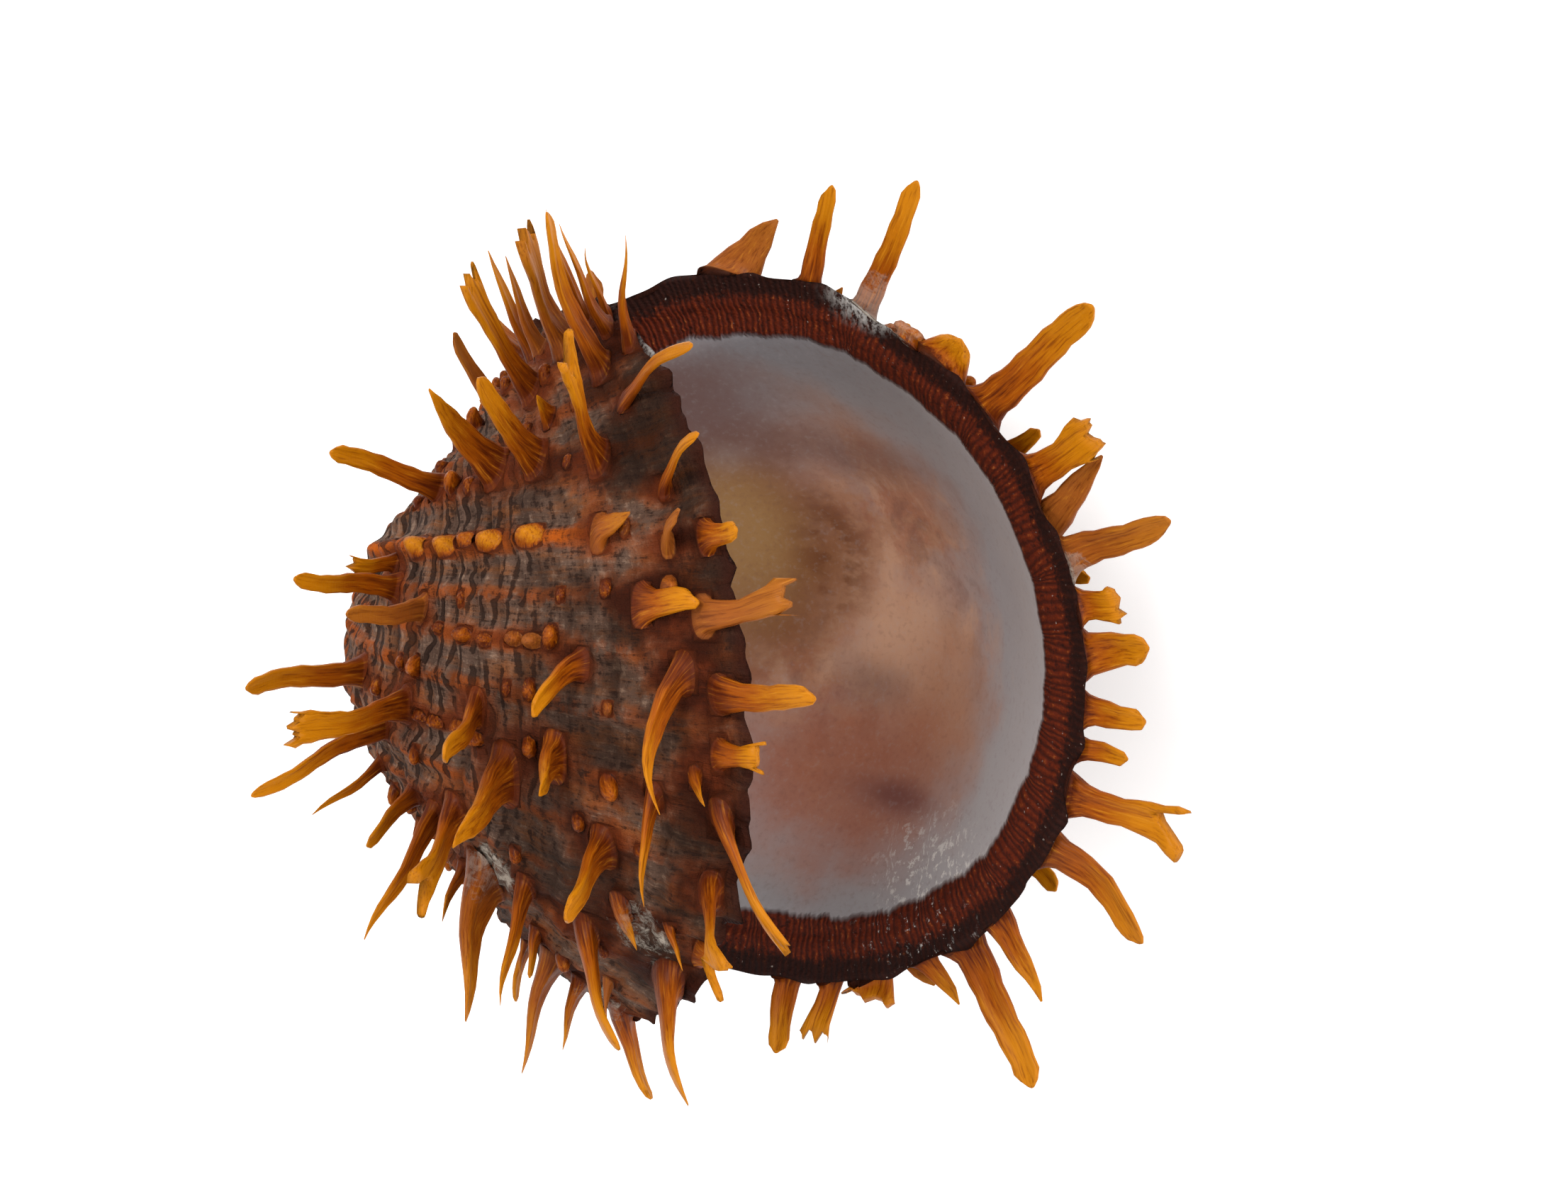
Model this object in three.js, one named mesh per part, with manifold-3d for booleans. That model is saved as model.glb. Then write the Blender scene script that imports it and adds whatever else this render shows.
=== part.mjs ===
// Thorny oyster shell: an open, articulated pair of valves covered in curved spines.
// Millimetres, +Z up. The lower valve lies on its flat attachment scar.
// Each valve is a logarithmic-spiral surface. "growth" runs from 0 at the beak to 1 at the margin,
// and "angle" fans out from the beak: 0 points away from the hinge, +90 and -90 lie along the hinge.

import * as THREE from 'three';
import { mergeVertices } from 'three/addons/utils/BufferGeometryUtils.js';
import Module from 'manifold-3d';

const wasm = await Module();
wasm.setup();

// ---- Driving sizes -------------------------------------------------------------------------

const GAPE = 30.5;              // angle between the two margins, degrees
const MARGIN_HEIGHT = 27.5;     // the lower valve's margin above the surface it rests on
const SCAR_CENTRE = 29;         // from the hinge line to the middle of the attachment scar
const HINGE_GAP = 0.35;         // clear space between the valves along the hinge line
const SHOULDER = 0.75;          // how full a valve is towards its sides: below 1 is fuller
const BAND_SLOPE = 0.28;        // inward fall of the margin band
const BAND_WIDTH = 7;           // width of the margin band
const HINGE_PLATE = 9;          // flat hinge plate, measured from the hinge line

// height is hinge to far margin, length is along the hinge, egg moves the widest line outwards,
// tip is the growth where the beak ends in the flat cardinal area, bowl is the hollow's shape.
// lopsided makes the side of the negative angles fuller, ear is a swelling of the margin there.
const UPPER = {
  height: 88, length: 85, egg: 0.85, tip: 0.12, fullness: 0.96, lopsided: 0.2,
  ear: { share: 0.1, angle: -56, width: 16 },
  bowl: { centre: 45, side: -2, alongHeight: 35, alongLength: 33.5, depth: 18.5 },
};
const LOWER = {
  height: 90, length: 88.5, egg: 0.9, tip: 0.2, fullness: 1, lopsided: 0,
  ear: { share: 0.08, angle: -62, width: 12 },
  bowl: { centre: 46, side: 0, alongHeight: 37, alongLength: 37, depth: 20.5 },
};

const COLUMNS = 32;             // facets from one end of the hinge to the other
const BEAK_ROWS = 9;            // facets from the beak to the start of the margin band
const BAND_ROWS = [0.925, 0.965, 1];
const BAND_START = 0.85;

const TOOTH_RADIUS = 2.2;
const SOCKET_RADIUS = 2.8;
const TOOTH_FROM_HINGE = 6;
const LOWER_TOOTH_OFFSET = 5.5;
const UPPER_TOOTH_OFFSET = 11;

const LIGAMENT = { near: 2.4, far: 7.6, halfLength: 2.4, clearance: 0.35 };

const GROUND_SIZE = 300;        // side of the block that cuts the attachment scar

const SPINE_ROOT = 1.4;         // how deep a spine's root is sunk in the valve wall
const MARGIN_ROOT = 0.4;        // near the thin margin, the root's depth over the distance to it
const SPINE_FLATNESS = 0.6;     // a spine's thickness over its width
const TIP_WIDTH = { point: 0.25, blunt: 0.75, ragged: 1.05, split: 0.9 };
const FILLING = 0.46;           // share of the places between conspicuous spines that carry one
const FILL_BEND = 15;           // how much further a filling spine leans at its tip, degrees
const UPPER_FILL = { rows: [0.42, 0.55, 0.68, 0.8, 0.9, 0.98], seed: 100, lean: 25 };
const LOWER_FILL = { rows: [0.62, 0.76, 0.88, 0.98], seed: 500, lean: 48 };
const RIB_ANGLES = [-78, -69, -60, -51.5, -43, -34.5, -26, -18.5, -11, -4.5,
  1.5, 7, 12, 18, 26, 33, 40.5, 48, 57, 66, 75];

// ---- The conspicuous spines ----------------------------------------------------------------
// [angle, growth, length, width, lean at root, lean at tip, swing at root, swing at tip, tip]
// Lean is measured from the surface normal towards the margin, swing towards positive angles.

const UPPER_SPINES = [
  [37, 0.91, 27, 3.4, 24, 38, -1, -1, 'blunt'],
  [41, 0.775, 19.5, 3.8, 23, 39, -5, -5, 'ragged'],
  [46, 0.885, 17, 4.8, 29, 43, -4, -2, 'ragged'],
  [56, 0.83, 15, 2.6, 28, 44, 0, 2, 'point'],
  [51, 0.84, 14, 2.4, 28, 44, 0, 2, 'point'],
  [42, 0.96, 22, 2.4, 29, 43, 0, 0, 'point'],
  [46, 0.95, 18, 1.8, 30, 40, 0, 0, 'point'],
  [39, 0.985, 19, 2.4, 36, 46, 0, 0, 'point'],
  [43.5, 0.985, 15, 1.8, 36, 46, 0, 0, 'point'],
  [51, 0.66, 10, 2.4, 24, 40, -3, -3, 'blunt'],
  [28, 0.69, 21, 4, 22, 38, -5, -5, 'point'],
  [27.5, 0.76, 21, 3.8, 22, 38, -4, -4, 'blunt'],
  [25.5, 0.86, 25, 3.8, 25, 38, -1, -1, 'split'],
  [31, 0.92, 20, 2.2, 60, 72, -9, -16, 'blunt'],
  [28, 0.56, 22, 2.8, 25, 35, -22, -22, 'blunt'],
  [21, 0.94, 13, 2.2, 36, 66, 8, 2, 'blunt'],
  [18, 0.84, 8, 3, 56, 76, 8, 5, 'point'],
  [16, 0.93, 8, 2.2, 30, 60, 16, 26, 'blunt'],
  [16, 0.98, 7, 2.8, 52, 68, 4, 4, 'blunt'],
  [12, 0.51, 23, 2.6, 30, 40, -8, -8, 'blunt'],
  [15.5, 0.49, 9, 2.2, 32, 42, -20, -20, 'ragged'],
  [9.5, 0.57, 22, 2.6, 38, 38, -8, -8, 'blunt'],
  [-3, 0.46, 22, 3, 28, 36, 5.5, 3, 'blunt'],
  [-4, 0.56, 26, 3.6, 30, 32, 9, 8, 'ragged'],
  [-10, 0.52, 28, 2.4, 36, 26, 11, 4, 'blunt'],
  [-20, 0.49, 13, 1.6, 30, 26, 5, 12, 'point'],
  [-21, 0.56, 11, 2.4, 24, 30, 6, 8, 'blunt'],
  [-19.8, 0.64, 22.5, 3, 28, 35, 1, 0, 'point'],
  [-17.5, 0.65, 16, 4.8, 31, 38, 3, 4, 'split'],
  [-33, 0.67, 8, 2, 25, 35, 4, 4, 'point'],
  [-28.5, 0.7, 21, 6, 33, 45, 0, 0, 'point'],
  [-23.5, 0.76, 18, 3, 27, 38, 2, 0, 'point'],
  [-42, 0.85, 15, 4.2, 18, 30, 1, 1, 'point'],
  [-43, 0.9, 9, 3.2, 14, 26, 2, 2, 'point'],
  [-24.5, 0.85, 18, 4.2, 40, 58, 0, 0, 'blunt'],
  [-42, 0.965, 12, 4.6, 44, 60, -4, -4, 'blunt'],
  [-26, 0.96, 19, 4.8, 28, 48, 0, 0, 'point'],
  [-13, 0.97, 24, 3.8, 25, 40, 0, 0, 'split'],
  [-20.5, 0.985, 7, 2.4, 50, 62, 6, 12, 'point'],
  [-18.5, 0.88, 7, 3.4, 42, 52, 2, 2, 'point'],
  [-18.5, 0.94, 6, 1.8, 38, 46, 1, 1, 'point'],
  [-1, 0.67, 22, 3.2, 40, 42, -5, 1, 'blunt'],
  [-8, 0.72, 22, 5, 26, 35, 4, 1, 'point'],
  [-4, 0.78, 15, 4, 28, 40, 3, 0, 'point'],
  [5.5, 0.81, 11, 2.8, -5, 14, -8, -50, 'blunt'],
  [5.5, 0.93, 21, 3.2, -15, 58, -32, -46, 'point'],
  [-5, 0.9, 14, 2.4, 8, 35, -26, -44, 'point'],
  [-3, 0.94, 6, 2, 30, 50, -10, -20, 'point'],
  [-12, 0.85, 16, 4, 15, 25, 8, 8, 'blunt'],
  [-5.5, 0.97, 17, 3.8, 38, 64, -22, -36, 'ragged'],
  [-1, 0.97, 8, 3, 58, 72, 8, 6, 'ragged'],
  [4, 0.97, 17, 3.4, 60, 75, 8, 12, 'blunt'],
  [10, 0.96, 13, 3.6, 70, 85, 6, 14, 'ragged'],
  [11, 0.89, 9, 3.4, 75, 85, 3, 3, 'blunt'],
];

const LOWER_SPINES = [
  [78, 0.98, 7, 3, 48, 56, 0, 0, 'ragged'],
  [50, 0.98, 11, 5, 50, 60, -18, -24, 'point'],
  [42, 0.98, 15, 2.6, 55, 55, 10, 14, 'blunt'],
  [36, 0.98, 21, 3, 54, 54, 11, 14, 'blunt'],
  [32.5, 0.98, 2.5, 3, 58, 64, 8, 8, 'blunt'],
  [29, 0.98, 2.5, 3.4, 58, 62, 8, 8, 'ragged'],
  [26, 0.98, 6, 5.4, 56, 56, 4, 4, 'blunt'],
  [23, 0.98, 24, 4.4, 48, 54, 2, 6, 'blunt'],
  [16.5, 0.98, 12, 4.8, 50, 52, 9, 11, 'ragged'],
  [14.5, 0.98, 14, 4, 50, 52, 24, 30, 'point'],
  [9.5, 0.98, 18, 4, 48, 54, 10, -2, 'blunt'],
  [4.5, 0.98, 6.5, 4, 50, 50, 1, 1, 'ragged'],
  [2, 0.98, 11, 4.6, 50, 52, 12, 10, 'blunt'],
  [-1.5, 0.98, 10, 3.4, 50, 52, 8, 6, 'blunt'],
  [-4.5, 0.98, 8, 2.6, 50, 52, 9, 6, 'blunt'],
  [-9.5, 0.98, 18, 4.8, 46, 52, 9, 1, 'split'],
  [-14, 0.98, 19, 3.8, 50, 62, 3, -22, 'blunt'],
  [-23.5, 0.98, 13, 3.2, 50, 62, -6, -18, 'point'],
  [-26, 0.98, 22, 4.4, 50, 66, -3, -18, 'blunt'],
  [-30, 0.98, 8, 2.6, 45, 55, 5, 5, 'point'],
  [-33, 0.98, 6, 3, 45, 52, 7, 7, 'point'],
  [-37, 0.98, 3.8, 5.4, 65, 75, -23, -34, 'ragged'],
  [-41.7, 0.98, 8, 3.2, 60, 72, -34, -44, 'ragged'],
  [-44.3, 0.98, 11, 3.2, 60, 66, -26, -28, 'blunt'],
];

// ---- Small helpers -------------------------------------------------------------------------

const radians = THREE.MathUtils.degToRad;
const mix = THREE.MathUtils.lerp;
const smooth = THREE.MathUtils.smoothstep;

/** A repeatable number from 0 to 1 for a whole number. */
function seeded(number) {
  const wave = Math.sin(number * 12.9898) * 43758.5453;
  return wave - Math.floor(wave);
}

/** A named spine from one row of the spine lists. */
function spineFromRow([angle, growth, length, width, leanRoot, leanTip, swingRoot, swingTip, tip]) {
  return { angle, growth, length, width, leanRoot, leanTip, swingRoot, swingTip, tip };
}

// ---- The valve surface ---------------------------------------------------------------------

/** Distance from the hinge's middle to the margin, in the direction of an angle. */
function marginRadius(valve, angle) {
  const a = valve.height / (1 + valve.egg);
  const b = valve.length / 2;
  const cosine = Math.cos(angle);
  const curve = (cosine / a) ** 2 + (Math.sin(angle) / b) ** 2;
  const pull = (valve.egg * cosine) / a;
  const egg = (pull + Math.sqrt(pull * pull + (1 - valve.egg ** 2) * curve)) / curve;
  const fromEar = (THREE.MathUtils.radToDeg(angle) - valve.ear.angle) / valve.ear.width;
  return egg * (1 + valve.ear.share * Math.exp(-fromEar * fromEar));
}

/** A point of the outside: x away from the hinge, y along it, z outwards from the margin plane. */
function outsidePoint(valve, growth, angle) {
  const radius = growth * marginRadius(valve, angle);
  const turn = Math.log(1 / growth);
  const cosine = Math.abs(Math.cos(angle));
  const skew = valve.lopsided * Math.sin(angle);
  const fullness = valve.fullness * (1 - skew) * cosine ** (SHOULDER + skew);
  return new THREE.Vector3(
    radius * cosine * Math.cos(turn),
    radius * Math.sin(angle),
    radius * fullness * Math.sin(turn),
  );
}

/** A point of the inside, above the same place of the margin plane. */
function insidePoint(valve, growth, angle) {
  const radius = marginRadius(valve, angle);
  const x = growth * radius * Math.abs(Math.cos(angle));
  const y = growth * radius * Math.sin(angle);
  return new THREE.Vector3(x, y, insideDepth(valve, x, y, (1 - growth) * radius, angle));
}

/** Depth of the inside under the margin plane: the margin band, then the bowl. */
function insideDepth(valve, x, y, fromMargin, angle) {
  const { centre, side: across, alongHeight, alongLength, depth } = valve.bowl;
  const side = Math.abs(Math.cos(angle)) ** SHOULDER;
  const band = BAND_SLOPE * Math.min(fromMargin, BAND_WIDTH) * side * smooth(x, 2, HINGE_PLATE);
  const reach = ((x - centre) / alongHeight) ** 2 + ((y - across) / alongLength) ** 2;
  return band + depth * Math.max(0, 1 - reach) ** 1.2;
}

/** The growth of each row of facets, from the beak to the margin. */
function growthRows(valve) {
  const rows = [];
  for (let row = 0; row <= BEAK_ROWS; row += 1) {
    rows.push(valve.tip * (BAND_START / valve.tip) ** (row / BEAK_ROWS));
  }
  return rows.concat(BAND_ROWS);
}

/** One closed skin: the outside and the inside share the margin, the hinge line and the beak. */
function valveBody(valve) {
  const rows = growthRows(valve);
  const corners = [];
  const quad = (a, b, c, d) => corners.push(a, b, c, a, c, d);
  const apex = new THREE.Vector3(0, 0, 0);
  for (let column = 0; column < COLUMNS; column += 1) {
    const here = radians(mix(-90, 90, column / COLUMNS));
    const next = radians(mix(-90, 90, (column + 1) / COLUMNS));
    const outside = (row, angle) => outsidePoint(valve, rows[row], angle);
    const inside = (row, angle) => {
      const onMargin = row === rows.length - 1;
      return onMargin ? outside(row, angle) : insidePoint(valve, rows[row], angle);
    };
    for (let row = 0; row < rows.length - 1; row += 1) {
      quad(outside(row, here), outside(row + 1, here), outside(row + 1, next), outside(row, next));
      quad(inside(row, here), inside(row, next), inside(row + 1, next), inside(row + 1, here));
    }
    corners.push(apex, outside(0, here), outside(0, next));
    corners.push(apex, inside(0, next), inside(0, here));
  }
  return solidFromCorners(corners);
}

// ---- Solids --------------------------------------------------------------------------------

/** A manifold solid from a three.js geometry that closes on itself. */
function solidFromGeometry(geometry) {
  geometry.deleteAttribute('normal');
  geometry.deleteAttribute('uv');
  const merged = mergeVertices(geometry, 1e-4);
  const index = [];
  const source = merged.index.array;
  for (let at = 0; at < source.length; at += 3) {
    const [a, b, c] = [source[at], source[at + 1], source[at + 2]];
    if (a !== b && b !== c && c !== a) index.push(a, b, c);
  }
  return new wasm.Manifold(new wasm.Mesh({
    numProp: 3,
    vertProperties: Float32Array.from(merged.attributes.position.array),
    triVerts: Uint32Array.from(index),
  }));
}

/** A manifold solid from a flat list of triangle corners. */
function solidFromCorners(corners) {
  return solidFromGeometry(new THREE.BufferGeometry().setFromPoints(corners));
}

/** A three.js geometry from a manifold solid. */
function geometryFromSolid(solid) {
  const mesh = solid.getMesh();
  const geometry = new THREE.BufferGeometry();
  geometry.setAttribute('position', new THREE.BufferAttribute(mesh.vertProperties, 3));
  geometry.setIndex(new THREE.BufferAttribute(mesh.triVerts, 1));
  geometry.computeVertexNormals();
  return geometry;
}

/** A ball, used for the hinge teeth and their sockets. */
function ball(radius, x, y) {
  const geometry = new THREE.OctahedronGeometry(radius, 1);
  geometry.translate(x, y, 0);
  return solidFromGeometry(geometry);
}

// ---- Spines --------------------------------------------------------------------------------

/** The directions on the outside at a place: out of it, towards the margin, and sideways. */
function surfaceFrame(valve, growth, angle) {
  const step = 1e-3;
  const towardsMargin = outsidePoint(valve, growth + step, angle)
    .sub(outsidePoint(valve, growth - step, angle)).normalize();
  const along = outsidePoint(valve, growth, angle + step)
    .sub(outsidePoint(valve, growth, angle - step));
  const outward = new THREE.Vector3().crossVectors(towardsMargin, along).normalize();
  const sideways = new THREE.Vector3().crossVectors(outward, towardsMargin);
  return { outward, towardsMargin, sideways };
}

/** The direction of a spine at a fraction of its length. */
function spineDirection(frame, spine, fraction) {
  const lean = radians(mix(spine.leanRoot, spine.leanTip, fraction));
  const swing = radians(mix(spine.swingRoot, spine.swingTip, fraction));
  return new THREE.Vector3()
    .addScaledVector(frame.outward, Math.cos(lean) * Math.cos(swing))
    .addScaledVector(frame.towardsMargin, Math.sin(lean) * Math.cos(swing))
    .addScaledVector(frame.sideways, Math.sin(swing));
}

/** Four corners of a flattened spine around one point of its path. */
function spineRing(centre, direction, sideways, width) {
  const across = sideways.clone().addScaledVector(direction, -sideways.dot(direction)).normalize();
  const through = new THREE.Vector3().crossVectors(direction, across);
  const thick = width * SPINE_FLATNESS;
  return [[-1, -1], [1, -1], [1, 1], [-1, 1]].map(([a, b]) => centre.clone()
    .addScaledVector(across, (a * width) / 2)
    .addScaledVector(through, (b * thick) / 2));
}

/** How many straight stretches a spine is made of. */
function spineStretches(spine) {
  if (spine.length < 8) return 1;
  return spine.length < 18 ? 2 : 3;
}

/** One closed, curved and tapering spine, with its root inside the valve wall. */
function spineSolid(valve, spine) {
  const angle = radians(spine.angle);
  const frame = surfaceFrame(valve, spine.growth, angle);
  const stretches = spineStretches(spine);
  const centre = outsidePoint(valve, spine.growth, angle);
  const depth = Math.min(SPINE_ROOT, MARGIN_ROOT * (1 - spine.growth) * valve.height);
  const root = centre.clone().addScaledVector(frame.outward, -depth);
  const rings = [spineRing(root, spineDirection(frame, spine, 0), frame.sideways, spine.width)];
  const tipWidth = TIP_WIDTH[spine.tip];
  for (let stretch = 0; stretch < stretches; stretch += 1) {
    const middle = (stretch + 0.5) / stretches;
    centre.addScaledVector(spineDirection(frame, spine, middle), spine.length / stretches);
    const end = (stretch + 1) / stretches;
    const width = spine.width * mix(1, tipWidth, end ** 1.5);
    rings.push(spineRing(centre, spineDirection(frame, spine, end), frame.sideways, width));
  }
  return solidFromCorners(skinOfRings(rings));
}

/** The triangle corners that join four-cornered rings and close both ends. */
function skinOfRings(rings) {
  const corners = [];
  for (let at = 0; at < rings.length - 1; at += 1) {
    for (let side = 0; side < 4; side += 1) {
      const next = (side + 1) % 4;
      const [a, b] = [rings[at][side], rings[at][next]];
      const [c, d] = [rings[at + 1][next], rings[at + 1][side]];
      corners.push(a, b, c, a, c, d);
    }
  }
  const [first, last] = [rings[0], rings[rings.length - 1]];
  corners.push(first[0], first[2], first[1], first[0], first[3], first[2]);
  corners.push(last[0], last[1], last[2], last[0], last[2], last[3]);
  return corners;
}

/** True when no spine of the list roots close to this place. */
function placeIsFree(spines, angle, growth) {
  return spines.every((spine) => {
    const sideways = ((spine.angle - angle) * growth) / 5;
    const lengthways = (spine.growth - growth) / 0.07;
    return sideways ** 2 + lengthways ** 2 > 1;
  });
}

/** The conspicuous spines, and shorter ones that fill the ribs between them. */
function fillingSpines(known, { rows, seed, lean }) {
  const spines = [...known];
  RIB_ANGLES.forEach((rib, ribNumber) => {
    rows.forEach((row, rowNumber) => {
      const number = seed + ribNumber * 31 + rowNumber * 7;
      const angle = rib + mix(-1.5, 1.5, seeded(number));
      const growth = Math.min(0.985, row + mix(-0.02, 0.02, seeded(number + 1)));
      const wanted = seeded(number + 2) < FILLING;
      if (!wanted || !placeIsFree(spines, angle, growth)) return;
      const vigour = seeded(number + 3);
      spines.push({
        angle, growth,
        length: mix(4, 13, vigour ** 1.5) * growth,
        width: mix(1.6, 3, vigour),
        leanRoot: lean, leanTip: lean + FILL_BEND,
        swingRoot: 0, swingTip: mix(-15, 15, seeded(number + 4)),
        tip: vigour > 0.5 ? 'blunt' : 'point',
      });
    });
  });
  return spines;
}

// ---- Whole valves --------------------------------------------------------------------------

/** Everything beyond the surface that the lower valve was cemented to, in the valve's own frame. */
function groundBlock() {
  const geometry = new THREE.BoxGeometry(GROUND_SIZE, GROUND_SIZE, GROUND_SIZE);
  geometry.translate(0, 0, MARGIN_HEIGHT + GROUND_SIZE / 2);
  return solidFromGeometry(geometry);
}

/** Body, teeth, sockets and spines of one valve, in its own frame. */
function valveSolid(valve, spines, toothOffset, socketOffset) {
  let solid = valveBody(valve);
  for (const spine of spines) {
    solid = solid.add(spineSolid(valve, spine));
  }
  for (const side of [-1, 1]) {
    solid = solid.add(ball(TOOTH_RADIUS, TOOTH_FROM_HINGE, side * toothOffset));
    solid = solid.subtract(ball(SOCKET_RADIUS, TOOTH_FROM_HINGE, side * socketOffset));
  }
  return solid;
}

/** A piece as a named mesh. */
function namedMesh(name, geometry, color, roughness) {
  const material = new THREE.MeshStandardMaterial({ color, roughness, metalness: 0 });
  const mesh = new THREE.Mesh(geometry, material);
  mesh.name = name;
  return mesh;
}

// ---- Pieces --------------------------------------------------------------------------------

/** The cemented valve: it lies on its back, cut off flat where it was cemented. */
function makeLowerValve() {
  // The valve is turned over about X, so its angles run the other way along the hinge.
  const spines = fillingSpines(LOWER_SPINES.map(spineFromRow), LOWER_FILL)
    .map((spine) => ({
      ...spine, angle: -spine.angle, swingRoot: -spine.swingRoot, swingTip: -spine.swingTip,
    }));
  const grown = valveSolid(LOWER, spines, LOWER_TOOTH_OFFSET, UPPER_TOOTH_OFFSET);
  const mesh = namedMesh('lower_valve', geometryFromSolid(grown.subtract(groundBlock())), 0x80695c, 0.35);
  mesh.rotation.x = Math.PI;
  return mesh;
}

/** The free valve, opened about the hinge line. */
function makeUpperValve() {
  const spines = fillingSpines(UPPER_SPINES.map(spineFromRow), UPPER_FILL);
  const grown = valveSolid(UPPER, spines, UPPER_TOOTH_OFFSET, LOWER_TOOTH_OFFSET);
  const mesh = namedMesh('upper_valve', geometryFromSolid(grown), 0x76452b, 0.7);
  mesh.rotation.y = -radians(GAPE);
  mesh.position.z = HINGE_GAP;
  return mesh;
}

/** The dried inner ligament: a wedge between the two hinge plates. */
function makeLigament() {
  const { near, far, halfLength, clearance } = LIGAMENT;
  const rise = Math.tan(radians(GAPE));
  const lift = HINGE_GAP - clearance / Math.cos(radians(GAPE));
  const outline = new THREE.Shape([
    new THREE.Vector2(near, clearance),
    new THREE.Vector2(far, clearance),
    new THREE.Vector2(far, far * rise + lift),
    new THREE.Vector2(near, near * rise + lift),
  ]);
  const geometry = new THREE.ExtrudeGeometry(outline, { depth: 2 * halfLength, bevelEnabled: false });
  geometry.rotateX(Math.PI / 2);
  geometry.translate(0, halfLength, 0);
  return namedMesh('ligament', geometry, 0x2a1710, 0.6);
}

const shell = new THREE.Group();
shell.position.set(-SCAR_CENTRE, 0, MARGIN_HEIGHT);
shell.add(makeLowerValve(), makeUpperValve(), makeLigament());

export default shell;
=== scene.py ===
"""Looks of a thorny oyster shell: two spiny valves and the dried ligament between them.

Sizes inside the classes are millimetres in a valve's own frame: x runs from the hinge line towards
the far margin, y along the hinge line and w outwards from the plane of the margin. "Growth" runs
from 0 at the beak to 1 at the margin, and "angle" fans out from the beak: 0 points away from the
hinge, +90 and -90 degrees lie along it.
"""

import logging
import math
from dataclasses import dataclass, field
from enum import Enum, IntEnum
from typing import Sequence

import bpy
import numpy as np
from mathutils import Matrix, Vector


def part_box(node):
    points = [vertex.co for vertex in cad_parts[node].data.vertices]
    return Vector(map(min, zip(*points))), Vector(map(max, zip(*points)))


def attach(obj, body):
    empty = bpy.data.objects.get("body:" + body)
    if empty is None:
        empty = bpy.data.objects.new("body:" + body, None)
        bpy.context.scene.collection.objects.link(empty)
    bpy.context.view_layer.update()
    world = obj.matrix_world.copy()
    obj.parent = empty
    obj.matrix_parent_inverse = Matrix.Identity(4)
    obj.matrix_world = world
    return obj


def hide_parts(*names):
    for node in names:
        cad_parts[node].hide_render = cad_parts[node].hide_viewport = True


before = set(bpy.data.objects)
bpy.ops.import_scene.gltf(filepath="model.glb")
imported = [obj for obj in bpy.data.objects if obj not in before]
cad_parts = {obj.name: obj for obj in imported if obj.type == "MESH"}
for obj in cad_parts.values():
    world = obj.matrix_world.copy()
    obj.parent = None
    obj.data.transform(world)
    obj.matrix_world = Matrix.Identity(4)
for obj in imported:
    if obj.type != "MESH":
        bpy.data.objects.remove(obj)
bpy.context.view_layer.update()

log = logging.getLogger("thorny_oyster")

MM = 0.001
GAPE = math.radians(30.5)

# Gaps at the hinge, then places and slopes of the inside that both valves share.
HINGE_GAP = 0.35
LIGAMENT_NEAR = 2.4
LIGAMENT_CLEARANCE = 0.35
SHOULDER = 0.75
BAND_SLOPE = 0.28
BAND_WIDTH = 7.0
HINGE_PLATE = 9.0
TOOTH_ROW = 6.0

# Steps from one fine riblet to the next along the margin, and from ring to ring along a spine.
TICK = 1.25
RING_STEP = 1.75

# Angles of the main ribs, and the one that is raised to a crest on the upper valve.
RIB_ANGLES = (-78, -69, -60, -51.5, -43, -34.5, -26, -18.5, -11, -4.5,
              1.5, 7, 12, 18, 26, 33, 40.5, 48, 57, 66, 75)
CREST_RIB = 18

# No spine of the lower valve roots below this height, and no short spine beyond this growth.
STANDING_HEIGHT = 2.0
LAST_GROWTH = 0.985

# Factors that scatter seeded numbers.
SEED_STRETCH = 12.9898
SEED_SPREAD = 43758.5453

Array = np.ndarray


# ---- Small helpers ---------------------------------------------------------------------------


def seeded(number: float) -> float:
    """Give a repeatable number from 0 to 1 for any number."""
    wave = math.sin(number * SEED_STRETCH) * SEED_SPREAD
    return wave - math.floor(wave)


def mix(low: float, high: float, share: float) -> float:
    """Blend two numbers."""
    return low + (high - low) * share


def smooth(value: Array, low: float, high: float) -> Array:
    """Rise smoothly from 0 to 1 while the value goes from low to high."""
    share = np.clip((value - low) / (high - low), 0.0, 1.0)
    return share * share * (3.0 - 2.0 * share)


def unit(vectors: Array) -> Array:
    """Scale vectors to length one."""
    return vectors / (np.linalg.norm(vectors, axis=-1, keepdims=True) + 1e-12)


class Ripple:
    """Smooth seeded unevenness: a few waves that cross each other."""

    def __init__(self, seed: int, low: float, high: float, waves: int = 7) -> None:
        """Pick the waves.

        Args:
            seed: Any whole number.
            low: Lowest number of turns per unit of the coordinates.
            high: Highest number of turns per unit.
            waves: How many waves are added up.
        """
        rng = np.random.default_rng(seed)
        turns = rng.uniform(low, high, waves)
        heading = rng.uniform(0, 2 * math.pi, waves)
        self.across = turns * np.cos(heading) * 2 * math.pi
        self.along = turns * np.sin(heading) * 2 * math.pi
        self.phase = rng.uniform(0, 2 * math.pi, waves)

    def __call__(self, across: Array, along: Array) -> Array:
        """Work out the unevenness.

        Args:
            across: First coordinates.
            along: Second coordinates.

        Returns:
            Heights of about -1 to 1.
        """
        total = np.zeros(np.broadcast(across, along).shape)
        for a, b, phase in zip(self.across, self.along, self.phase):
            total = total + np.sin(a * across + b * along + phase)
        return total / math.sqrt(len(self.phase) / 2.0) / 1.6


# ---- Spines ----------------------------------------------------------------------------------


class Tip(Enum):
    """How a spine ends."""

    POINT = "point"
    BLUNT = "blunt"
    RAGGED = "ragged"
    SPLIT = "split"
    KNOB = "knob"


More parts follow.
